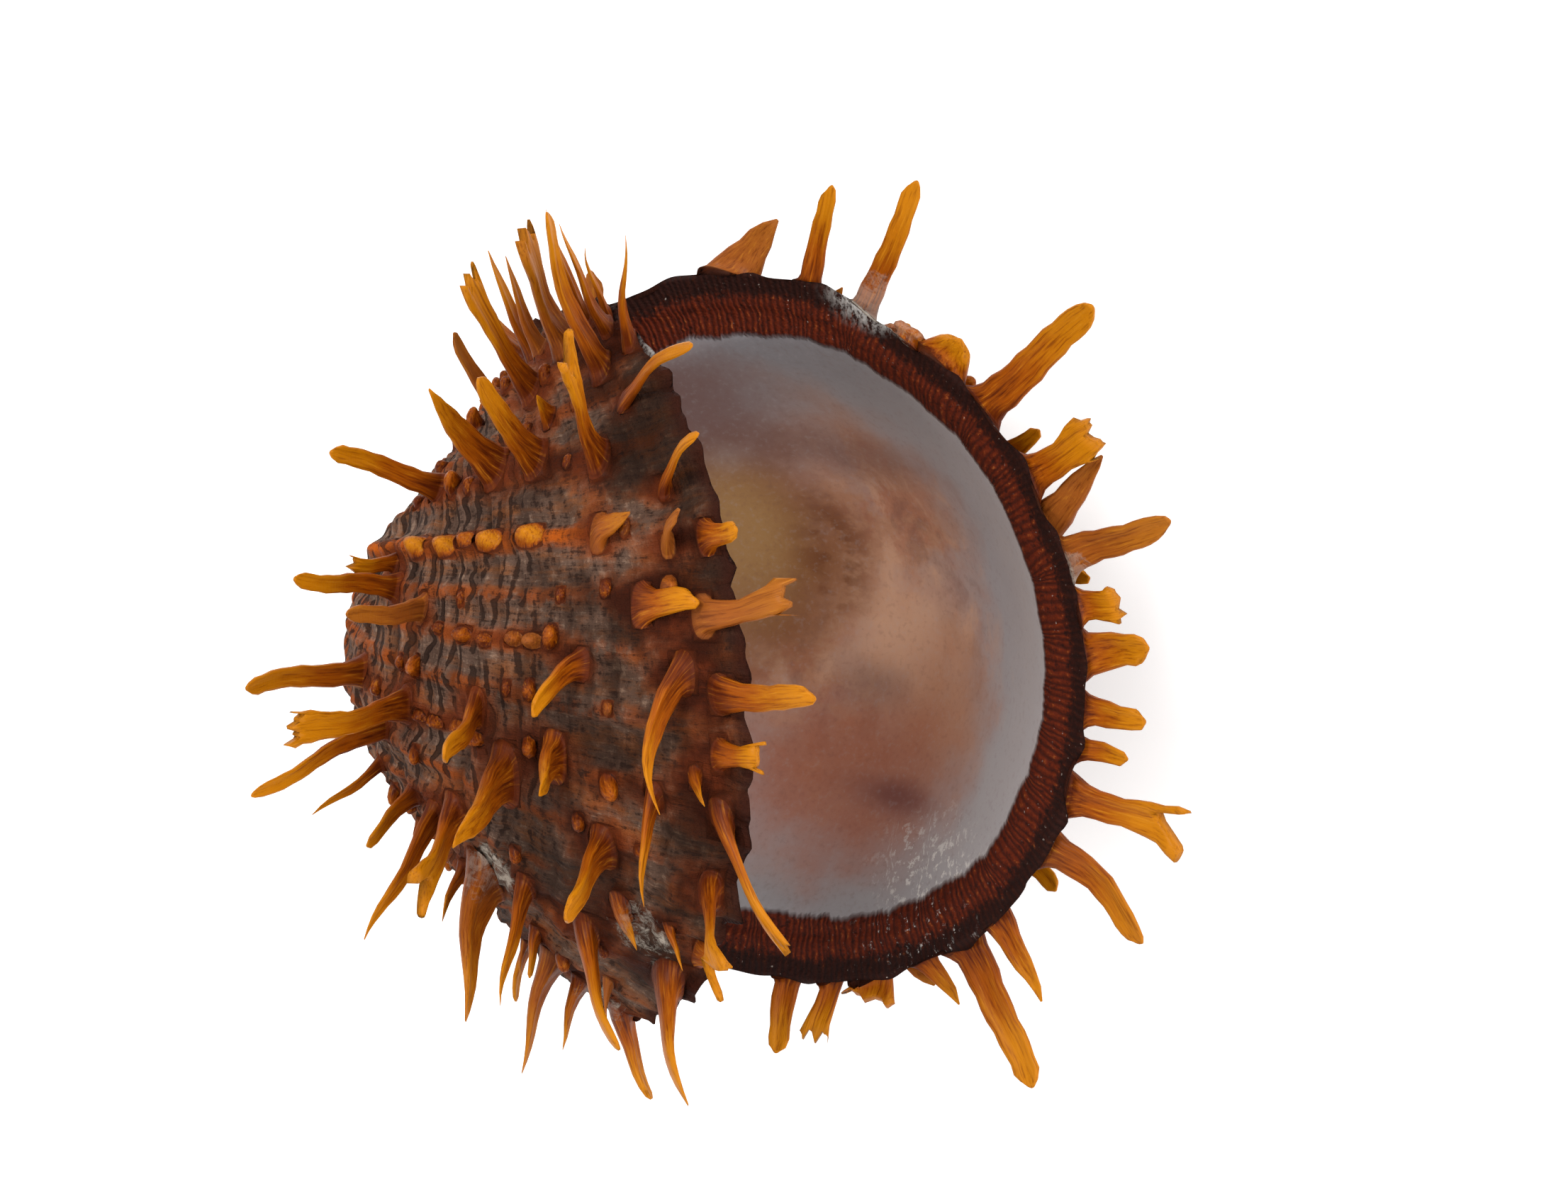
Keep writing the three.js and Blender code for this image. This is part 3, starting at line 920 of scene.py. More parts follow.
    def group(self, name: str, **values: object) -> bpy.types.Node:
        """Place a node group that was built before.

        Args:
            name: Name of the group.
            **values: What its inputs take, by name.

        Returns:
            The group node.
        """
        node = self.add("ShaderNodeGroup", node_tree=Effect.made[name])
        for label, value in values.items():
            self.feed(node.inputs[label], value)
        return node


class Effect:
    """A shader node group with named sockets that more than one material uses."""

    made: dict[str, bpy.types.NodeTree] = {}

    @classmethod
    def start(cls, name: str, inputs: dict[str, str],
              outputs: dict[str, str]) -> tuple[Graph, Sequence[Socket], Sequence[Socket]]:
        """Start a group.

        Args:
            name: Name of the group.
            inputs: Socket kinds by input name.
            outputs: Socket kinds by output name.

        Returns:
            The graph of the group, the sockets that give its inputs and those that take its outputs.
        """
        tree = bpy.data.node_groups.new(name, "ShaderNodeTree")
        for label, kind in inputs.items():
            tree.interface.new_socket(name=label, in_out="INPUT", socket_type=f"NodeSocket{kind}")
        for label, kind in outputs.items():
            tree.interface.new_socket(name=label, in_out="OUTPUT", socket_type=f"NodeSocket{kind}")
        graph = Graph(tree)
        source = graph.add("NodeGroupInput")
        target = graph.add("NodeGroupOutput")
        cls.made[name] = tree
        return graph, source.outputs, target.inputs


def soft_spot() -> None:
    """Build a mask that fades out of a rounded place with a wandering edge."""
    g, given, out = Effect.start(
        "soft_spot",
        {"Place": "Vector", "Centre": "Vector", "Size": "Vector", "Softness": "Float", "Wander": "Float"},
        {"Mask": "Float"})
    away = g.vectors("SUBTRACT", given["Place"], given["Centre"]).outputs[0]
    scaled = g.vectors("DIVIDE", away, given["Size"]).outputs[0]
    length = g.vectors("LENGTH", scaled).outputs["Value"]
    wander = g.minus(g.noise(given["Place"], 90.0, 4.0), 0.5)
    reach = g.plus(length, g.times(wander, given["Wander"]))
    inner = g.minus(1.0, given["Softness"])
    outer = g.plus(1.0, given["Softness"])
    g.feed(out["Mask"], g.minus(1.0, g.band(reach, inner, outer)))


def woven_growth() -> None:
    """Build the worn weave of fine riblets and growth lines of a valve's outside, and masks of painted
    shade and painted highlight on it.
    """
    g, given, out = Effect.start(
        "woven_growth", {"Place": "Vector", "Riblets": "Float", "Growth": "Float"},
        {"Height": "Float", "Painted_shade": "Float", "Painted_highlight": "Float", "Streak": "Float"})
    place, riblets, growth = given["Place"], given["Riblets"], given["Growth"]
    fibres = g.strands(riblets, growth, (1.5, 24.0), 0.0, 4.0, 0.7)
    rungs = g.strands(riblets, growth, (0.16, 84.0), 3.0, 4.0, 0.68)
    felt = g.noise(place, 900.0, 4.0, 0.72)
    young = g.band(growth, 0.78, 0.45)
    rung_share = g.times_plus(young, 0.5, 0.42)
    fibre_share = g.times_plus(young, -0.3, 0.55)
    height = g.times(rungs, rung_share)
    height = g.times_plus(fibres, fibre_share, height)
    height = g.times_plus(felt, 0.5, height)
    bend = g.strands(riblets, growth, (0.1, 5.0), 7.0)
    turns = g.times_plus(bend, 3.0, g.times(growth, 50.0))
    steps = g.times_plus(g.math("SINE", g.times(turns, 2.0 * math.pi)), 0.5, 0.5)
    broken = g.strands(riblets, growth, (0.22, 30.0), 13.0)
    lines = g.times(g.band(steps, 0.62, 0.98), g.band(broken, 0.36, 0.56))
    lines = g.times(lines, g.band(growth, 0.86, 0.6))
    height = g.times_plus(lines, -0.35, height)
    g.feed(out["Height"], height)
    level = g.times_plus(young, -0.1, height)
    # Painted shade: the low places of the weave and its growth lines are marked for darkening.
    g.feed(out["Painted_shade"], g.math("MAXIMUM", g.times(lines, 0.7), g.band(level, 0.73, 0.6)))
    # Painted highlight: the raised places of the weave are marked for lightening.
    g.feed(out["Painted_highlight"], g.band(level, 0.76, 0.88))
    g.feed(out["Streak"], g.strands(riblets, growth, (0.4, 9.0), 11.0, 4.0, 0.65))


def pale_crust() -> None:
    """Build scattered whitish worn and crusted patches."""
    g, given, out = Effect.start(
        "pale_crust", {"Place": "Vector", "Amount": "Float"}, {"Mask": "Float", "Height": "Float"})
    broad = g.noise(given["Place"], 62.0, 3.0, 0.6)
    fine = g.noise(given["Place"], 700.0, 5.0, 0.75, 0.6)
    total = g.plus(g.times_plus(fine, 0.75, broad), given["Amount"])
    g.feed(out["Mask"], g.band(total, 1.2, 1.36))
    g.feed(out["Height"], fine)


def thorn_tint() -> None:
    """Build the colour and grain of a spine from its root to its tip."""
    g, given, out = Effect.start(
        "thorn_tint",
        {"Along": "Float", "Tone": "Float", "Grain": "Vector", "Root": "Color", "Middle": "Color",
         "End": "Color", "Flush": "Color"},
        {"Color": "Color", "Height": "Float"})
    streaks = g.noise(g.stretch(given["Grain"], (1.7, 1.7, 0.11)), 1.0, 4.0, 0.62)
    rings = g.noise(g.stretch(given["Grain"], (0.15, 0.15, 1.7)), 1.0, 3.0, 0.6)
    blotch = g.noise(g.stretch(given["Grain"], (0.5, 0.5, 0.22)), 1.0, 2.0, 0.5)
    along = g.wobble(given["Along"], 0.55, streaks)
    along = g.wobble(along, 0.5, blotch)
    colour = g.blend(g.band(along, 0.0, 0.34), given["Root"], given["Middle"])
    colour = g.blend(g.band(along, 0.28, 0.85), colour, given["End"])
    colour = g.tinge(colour, 0.9, g.band(given["Tone"], 0.8, 1.0), given["Flush"])
    dark = g.blend(1.0, colour, (0.36, 0.22, 0.14, 1.0), "MULTIPLY")
    colour = g.tinge(colour, 0.6, g.band(streaks, 0.5, 0.3), dark)
    light = g.blend(0.5, colour, (0.6, 0.25, 0.02, 1.0))
    colour = g.tinge(colour, 0.6, g.band(streaks, 0.55, 0.75), light)
    g.feed(out["Color"], colour)
    g.feed(out["Height"], g.times_plus(rings, 0.3, streaks))


# ---- Finishes --------------------------------------------------------------------------------


def new_material(name: str) -> tuple[bpy.types.Material, Graph, bpy.types.Node]:
    """Start a material.

    Args:
        name: Its name.

    Returns:
        The material, its graph and its Principled shader.
    """
    material = bpy.data.materials.new(name)
    material.use_nodes = True
    graph = Graph(material.node_tree)
    return material, graph, material.node_tree.nodes["Principled BSDF"]


@dataclass(frozen=True)
class Patch:
    """A soft place on a valve, in millimetres of the part's frame."""

    centre: tuple[float, float, float]
    size: tuple[float, float, float]


@dataclass(frozen=True)
class OutsideFinish:
    """Grey-brown woven outside with rust ribs and orange spines, painted shade in its hollows and round
    spine roots, and painted highlight on the raised weave.
    """

    name: str
    crusted: tuple[Patch, ...] = ()
    ground: tuple = shade(94, 72, 60)
    raised_highlight: tuple = shade(140, 114, 96)
    rust: tuple = shade(128, 76, 40)
    dark_patch_and_shade: tuple = shade(30, 17, 12)
    rib: tuple = shade(140, 68, 26)
    root_stain_and_shade_colour: tuple = shade(92, 36, 12)
    crest: tuple = shade(170, 80, 12)
    crust: tuple = shade(178, 166, 152)
    thorn_root: tuple = shade(84, 31, 5)
    thorn_middle: tuple = shade(138, 66, 3)
    thorn_end: tuple = shade(172, 104, 5)
    thorn_flush: tuple = shade(136, 74, 26)
    edge: tuple = shade(46, 18, 10)
    ageing: tuple = (0.42, 0.35, 0.3, 1.0)
    thorn_coat: float = 0.08
    coat_roughness: float = 0.3
    shine: float = 0.06
    relief: float = 0.6

    def make(self) -> bpy.types.Material:
        """Make the material.

        Returns:
            The material.
        """
        material, g, shader = new_material(self.name)
        place, riblets, growth = g.place(), g.value("tick"), g.value("growth")
        thorn, tone, rib, flush = g.value("thorn"), g.value("tone"), g.value("rib"), g.value("flush")
        woven = g.group("woven_growth", Place=place, Riblets=riblets, Growth=growth)
        dark, raised_highlight = woven.outputs["Painted_shade"], woven.outputs["Painted_highlight"]
        broad = g.noise(place, 75.0, 4.0, 0.62)
        patch = g.noise(place, 210.0, 4.0, 0.65)

        # Painted highlight: the raised places of the weave are paler.
        colour = g.tinge(self.ground, 0.8, raised_highlight, self.raised_highlight)
        warm = g.band(g.times_plus(woven.outputs["Streak"], 0.9, g.times(patch, 0.6)), 0.68, 0.94)
        colour = g.tinge(colour, 0.75, warm, self.rust)
        rib_here = g.times(g.band(rib, 0.25, 0.85), g.band(growth, 1.2, 0.6))
        colour = g.tinge(colour, g.band(patch, 0.36, 0.54), rib_here, self.rib)
        colour = g.tinge(colour, 0.9, g.band(rib, 0.9, 1.5), self.crest)
        uneven = g.wobble(flush, 1.1, patch)
        colour = g.tinge(colour, 0.5, g.band(uneven, 0.2, 0.6), self.rib)
        # Round spine roots: a real red-brown stain, darkened further as painted shade at the foot of each
        # spine.
        near_root = g.band(uneven, 0.4, 0.9)
        colour = g.tinge(colour, 0.85, near_root, self.root_stain_and_shade_colour)
        # Real dark patches towards the margin, in the same colour as the painted shade in the hollows.
        old = g.times(g.band(growth, 0.55, 0.8), g.band(broad, 0.42, 0.58))
        colour = g.tinge(colour, 0.6, old, self.dark_patch_and_shade)
        aged = g.blend(1.0, colour, self.ageing, "MULTIPLY")
        late = g.times(g.band(growth, 0.7, 0.9), g.band(broad, 0.3, 0.55))
        colour = g.tinge(colour, 0.9, late, aged)
        # Painted shade: the low places of the weave, its growth lines and the growth grooves are
        # darkened, less near spine roots.
        groove_shade = g.math("MAXIMUM", g.times(dark, 0.8), g.times(g.value("groove"), 0.75))
        colour = g.blend(g.weaken(groove_shade, 0.6, near_root), colour, self.dark_patch_and_shade)
        colour = g.tinge(colour, 0.85, g.band(g.value("margin"), 2.4, 0.2), self.edge)

        tint = g.group("thorn_tint", Along=thorn, Tone=tone, Grain=g.vector("lay"),
                       Root=self.thorn_root, Middle=self.thorn_middle, End=self.thorn_end,
                       Flush=self.thorn_flush)
        on_thorn = g.band(thorn, 0.0, 0.06)
        colour = g.blend(on_thorn, colour, tint.outputs["Color"])

        amount = -0.08
        for spot in self.crusted:
            centre = tuple(part * MM for part in spot.centre)
            size = tuple(part * MM for part in spot.size)
            mask = g.group("soft_spot", Place=place, Centre=centre, Size=size, Softness=0.6,
                           Wander=0.8).outputs["Mask"]
            amount = g.times_plus(mask, 0.47, amount)
        crust = g.group("pale_crust", Place=place, Amount=amount)
        crusted = g.weaken(crust.outputs["Mask"], 0.75, on_thorn)
        colour = g.blend(crusted, colour, self.crust)
        g.feed(shader.inputs["Base Color"], colour)

        rough = g.minus(0.74, g.times(on_thorn, 0.3))
        g.feed(shader.inputs["Roughness"], g.times_plus(patch, 0.12, rough))
        g.feed(shader.inputs["Coat Weight"], g.times(on_thorn, self.thorn_coat))
        shader.inputs["Coat Roughness"].default_value = self.coat_roughness
        shader.inputs["Specular IOR Level"].default_value = self.shine
        body = g.times(woven.outputs["Height"], g.minus(1.0, on_thorn))
        grain = g.times(tint.outputs["Height"], g.times(on_thorn, 0.3))
        height = g.plus(g.times(body, 1.7), grain)
        height = g.times_plus(crust.outputs["Height"], g.times(crusted, 0.8), height)
        g.feed(shader.inputs["Normal"], g.bump(height, 1.0, self.relief))
        return material


@dataclass(frozen=True)
class InsideFinish:
    """Matt porcelain bowl with a crenulated red-brown margin band, painted shade on two sides of the bowl
    and painted glints on the band and near the far margin.
    """

    name: str
    placement: Placement
    pearl: tuple = shade(149, 146, 148)
    pearl_light: tuple = shade(158, 154, 154)
    pearl_painted_shade: tuple = shade(104, 101, 104)
    peach: tuple = shade(162, 116, 90)
    peach_light: tuple = shade(190, 148, 120)
    tan: tuple = shade(112, 68, 38)
    olive: tuple = shade(152, 116, 72)
    mauve: tuple = shade(98, 68, 62)
    wine: tuple = shade(92, 52, 54)
    brown: tuple = shade(96, 56, 32)
    red: tuple = shade(152, 94, 72)
    band: tuple = shade(80, 24, 5)
    band_light: tuple = shade(116, 44, 9)
    band_dark: tuple = shade(26, 8, 4)
    dash: tuple = shade(158, 92, 44)
    painted_sparkle: tuple = shade(196, 184, 172)
    fleck_and_glint: tuple = shade(206, 202, 196)
    teeth_per_riblet: float = 1.25
    bowl_coat: float = 0.3
    coat_roughness: float = 0.3
    shine: float = 0.1
    relief: float = 0.5

    def make(self) -> bpy.types.Material:
        """Make the material.

        Returns:
            The material.
        """
        material, g, shader = new_material(self.name)
        place = g.place()
        margin, ticks = g.value("margin"), g.value("tick")
        x, y, z = (part * MM for part in self.placement.hinge)
        gape = 0.0 if self.placement.turned_over else self.placement.gape
        cosine, rise = math.cos(gape), math.sin(gape)

        def spot(along: float, side: float, half_along: float, half_side: float,
                 softness: float, wander: float) -> Socket:
            """Mask a rounded place of the bowl.

            Args:
                along: Millimetres from the hinge line to its middle.
                side: Millimetres from the hinge's middle, along the hinge line.
                half_along: Half its size away from the hinge line.
                half_side: Half its size along the hinge line.
                softness: How gently its edge fades, from 0 to 1.
                wander: How far its edge strays.

            Returns:
                The mask.
            """
            centre = (x + along * MM * cosine, y + side * MM, z + along * MM * rise)
            size = (half_along * MM, half_side * MM, 1.0)
            return g.group("soft_spot", Place=place, Centre=centre, Size=size, Softness=softness,
                           Wander=wander).outputs["Mask"]

        cloud = g.noise(place, 75.0, 5.0, 0.62)
        mottle = g.noise(g.stretch(place, (1.0, 1.6, 1.0)), 190.0, 4.0, 0.62)
        grit = g.noise(place, 1300.0, 3.0, 0.6)
        depth = g.times_plus(cloud, 12.0, margin)
        colour = g.tinge(self.pearl, 1.0, g.band(depth, 30.0, 19.0), self.pearl_light)
        # Painted shade: the pearl is darker towards both sides of the bowl along the hinge line.
        colour = g.tinge(colour, 0.85, spot(36, 40, 28, 16, 0.9, 0.5), self.pearl_painted_shade)
        colour = g.tinge(colour, 0.55, spot(46, -40, 26, 9, 0.9, 0.5), self.pearl_painted_shade)
        colour = g.tinge(colour, 1.0, spot(41.5, 0, 20, 24, 0.4, 0.7), self.peach)
        blush = g.times(g.band(mottle, 0.46, 0.6), spot(42.5, -4, 19, 22, 0.5, 1.0))
        colour = g.tinge(colour, 0.5, blush, self.red)
        milk = g.times(g.band(cloud, 0.5, 0.62), spot(50, 0, 20, 22, 0.5, 1.0))
        colour = g.tinge(colour, 0.3, milk, self.pearl)
        blots = g.noise(g.stretch(place, (1.5, 1.0, 1.0)), 150.0, 5.0, 0.6, 0.4)
        hazy = spot(44, -3, 19, 22, 0.5, 0.8)
        colour = g.tinge(colour, 0.6, g.times(g.band(blots, 0.5, 0.66), hazy), self.peach_light)
        colour = g.tinge(colour, 0.4, g.times(g.band(blots, 0.48, 0.34), hazy), self.mauve)
        colour = g.tinge(colour, 0.9, spot(46.5, -4, 9, 8, 0.9, 1.3), self.peach_light)
        colour = g.tinge(colour, 0.9, spot(26, 5, 13, 15, 0.5, 0.9), self.tan)
        colour = g.tinge(colour, 0.85, spot(26, 7, 6, 9, 0.8, 0.8), self.olive)
        colour = g.tinge(colour, 0.85, spot(25, 25, 12, 7, 0.7, 1.1), self.mauve)
        colour = g.tinge(colour, 0.55, spot(40, 19, 12, 3, 0.9, 1.4), self.mauve)
        smudge = g.times(g.band(mottle, 0.4, 0.58), spot(36.5, 4.5, 4, 7, 0.8, 1.0))
        colour = g.tinge(colour, 0.7, smudge, self.brown)
        colour = g.tinge(colour, 0.8, spot(55, -13, 9, 9, 0.7, 0.9), self.peach)
        colour = g.tinge(colour, 0.8, spot(43, -22, 17, 9, 0.6, 1.0), self.red)
        colour = g.tinge(colour, 0.65, spot(52, -22.5, 6, 1.6, 0.9, 1.4), self.wine)
        colour = g.tinge(colour, 0.5, spot(43, -11, 5, 2.5, 0.9, 1.6), self.mauve)
        colour = g.tinge(colour, 0.14, g.band(grit, 0.52, 0.74), self.pearl_light)
        colour = g.tinge(colour, 0.18, g.band(grit, 0.48, 0.3), self.mauve)
        # Painted glints: near-white flecks near the far margin of the bowl and on its band stand in for
        # highlights.
        speckle = g.strands(ticks, margin, (1.1, 0.7), 21.0, 5.0, 0.75)
        lower_glints = g.times(g.band(speckle, 0.53, 0.6), spot(66, -29, 10, 6, 0.6, 0.9))
        colour = g.tinge(colour, 0.9, lower_glints, self.fleck_and_glint)

        wander = g.noise(g.join(g.times(ticks, 0.16), 0.0, 5.0), 1.0, 4.0, 0.62)
        bend = g.strands(ticks, margin, (0.5, 0.2), 2.0)
        turn = g.times(g.times_plus(bend, 0.9, ticks), 2.0 * math.pi * self.teeth_per_riblet)
        teeth = g.times_plus(g.math("SINE", turn), 0.5, 0.5)
        edge = g.times_plus(teeth, 0.16, g.wobble(margin, 3.8, wander))
        grain = g.strands(ticks, margin, (1.1, 0.85), 0.0, 5.0, 0.72)
        lift = g.times(g.band(teeth, 0.3, 0.95), g.band(grain, 0.45, 0.65))
        outer = g.band(g.wobble(margin, 5.0, grain), 3.6, 2.0)
        band_colour = g.tinge(self.band, 0.6, lift, self.band_light)
        band_colour = g.tinge(band_colour, 0.5, g.band(teeth, 0.4, 0.05), self.band_dark)
        dashes = g.times(g.band(teeth, 0.45, 0.85), g.band(grain, 0.58, 0.68))
        band_colour = g.tinge(band_colour, 0.6, dashes, self.dash)
        band_colour = g.tinge(band_colour, 0.7, g.band(grain, 0.46, 0.36), self.band_dark)
        band_colour = g.tinge(band_colour, 0.88, outer, self.band_dark)
        on_band = g.band(edge, 8.1, 7.3)
        # Painted glints: pale specks over the band stand in for sparkling highlights.
        sparkle_specks = g.times(g.band(g.noise(place, 1900.0, 2.0), 0.7, 0.78), g.band(cloud, 0.35, 0.6))
        band_colour = g.tinge(band_colour, 0.6, sparkle_specks, self.painted_sparkle)
        colour = g.blend(on_band, colour, band_colour)
        band_glints = g.times(g.band(speckle, 0.58, 0.68), g.times(on_band, spot(64, -35, 9, 5, 0.6, 0.9)))
        colour = g.tinge(colour, 0.8, band_glints, self.fleck_and_glint)
        # A crusted patch in the same pale colour.
        crusty = g.times(g.band(speckle, 0.42, 0.56), spot(59, 43, 6, 3, 0.6, 0.9))
        colour = g.tinge(colour, 0.8, crusty, self.fleck_and_glint)
        g.feed(shader.inputs["Base Color"], colour)
        rough = g.times_plus(grit, 0.14, 0.42)
        g.feed(shader.inputs["Roughness"], g.times_plus(on_band, 0.2, rough))
        g.feed(shader.inputs["Coat Weight"], g.times(g.minus(1.0, on_band), self.bowl_coat))
        shader.inputs["Coat Roughness"].default_value = self.coat_roughness
        shader.inputs["Specular IOR Level"].default_value = self.shine
        ridges = g.times(g.times_plus(grain, 1.3, g.times(teeth, 0.55)), on_band)
        soft = g.times_plus(grit, 0.05, g.times(cloud, 0.25))
        g.feed(shader.inputs["Normal"], g.bump(g.plus(ridges, soft), 0.9, self.relief))
        return material


@dataclass(frozen=True)
class LigamentFinish:
    """Dark, dry, finely layered horny stuff."""

    dark: tuple = shade(30, 17, 11)
    light: tuple = shade(86, 52, 30)

    def make(self) -> bpy.types.Material:
        """Make the material.

        Returns:
            The material.
        """
        material, g, shader = new_material("ligament_horn")
        place = g.place()
        layers = g.noise(g.stretch(place, (400.0, 400.0, 3200.0)), 1.0, 4.0, 0.6)
        g.feed(shader.inputs["Base Color"], g.blend(g.band(layers, 0.35, 0.75), self.dark, self.light))
        g.feed(shader.inputs["Roughness"], g.times_plus(layers, 0.3, 0.4))
        g.feed(shader.inputs["Normal"], g.bump(layers, 0.6, 0.3))
        return material


@dataclass(frozen=True)
class FloorFinish:
    """Plain matt white with a small even glow."""

    colour: tuple = (0.93, 0.93, 0.93, 1.0)
    second_colour: tuple = (0.91, 0.91, 0.91, 1.0)
    roughness: float = 0.9
    glow: float = 0.28

    def make(self) -> bpy.types.Material:
        """Make the material.

        Returns:
            The material.
        """
        material, g, shader = new_material("studio_floor")
        cloud = g.noise(g.place(), 3.0)
        g.feed(shader.inputs["Base Color"], g.blend(cloud, self.colour, self.second_colour))
        shader.inputs["Roughness"].default_value = self.roughness
        shader.inputs["Emission Color"].default_value = (1.0, 1.0, 1.0, 1.0)
        shader.inputs["Emission Strength"].default_value = self.glow
        return material


# ---- Meshes ----------------------------------------------------------------------------------


class Skin:
    """Points, faces and per-point values of one closed mesh, collected before it is made."""

    VALUES = ("growth", "tick", "rib", "groove", "flush", "thorn", "tone", "margin")

    def __init__(self) -> None:
        """Start empty."""
        self.points: list[Array] = []
        self.values: dict[str, list[Array]] = {name: [] for name in self.VALUES}
        self.lay: list[Array] = []
        self.count = 0
        self.faces: list[tuple[int, ...]] = []
        self.finishes: list[int] = []

    def add_points(self, points: Array, lay: Array, **values: Array) -> Array:
        """Add points.

        Args:
            points: Places, with any leading shape.
            lay: Grain coordinates, of the same shape.
            **values: Per-point values by name; a missing one is 0.

        Returns:
            The numbers of the points, in the leading shape.
        """
        shape = points.shape[:-1]
        amount = int(np.prod(shape))
        self.points.append(points.reshape(-1, 3))
        self.lay.append(np.broadcast_to(lay, points.shape).reshape(-1, 3))
        for name in self.VALUES:
            given = np.broadcast_to(values.get(name, 0.0), shape)
            self.values[name].append(given.reshape(-1))
        numbers = np.arange(self.count, self.count + amount).reshape(shape)
        self.count += amount
        return numbers

    def add_faces(self, faces: Sequence[Sequence[int]], finish: int) -> None:
        """Add faces of one finish."""
        self.faces.extend(tuple(int(number) for number in face) for face in faces)
        self.finishes.extend([finish] * len(faces))

    def make(self, name: str, placement: Placement,
             materials: Sequence[bpy.types.Material]) -> bpy.types.Object:
        """Make the object.

        Args:
            name: Name of the object.
            placement: Where the valve's frame lies.
            materials: The finishes, in the order of their numbers.

        Returns:
            The new object, with unused points left out.
        """
        points = placement.to_part(np.concatenate(self.points))
        if placement.turned_over:
            points[:, 2] = np.maximum(points[:, 2], 0.0)
        used = np.zeros(self.count, dtype=bool)
        used[np.fromiter((n for face in self.faces for n in face), dtype=int)] = True
        renumber = np.cumsum(used) - 1
        order = -1 if placement.turned_over else 1
        faces = [tuple(int(renumber[n]) for n in face[::order]) for face in self.faces]
        mesh = bpy.data.meshes.new(name)
        mesh.from_pydata((points[used] * MM).tolist(), [], faces)
        for value, parts in self.values.items():
            layer = mesh.attributes.new(value, "FLOAT", "POINT")
            layer.data.foreach_set("value", np.concatenate(parts)[used].astype(np.float32))
        grain = mesh.attributes.new("lay", "FLOAT_VECTOR", "POINT")
        grain.data.foreach_set("vector", np.concatenate(self.lay)[used].astype(np.float32).ravel())
        mesh.polygons.foreach_set("material_index", np.array(self.finishes, dtype=np.int32))
        mesh.polygons.foreach_set("use_smooth", np.ones(len(faces), dtype=bool))
        for material in materials:
            mesh.materials.append(material)
        mesh.update()
        piece = bpy.data.objects.new(name, mesh)
        bpy.context.scene.collection.objects.link(piece)
        return piece


class Side(IntEnum):
    """Which finish of a valve a face takes."""

    OUTSIDE = 0
    INSIDE = 1


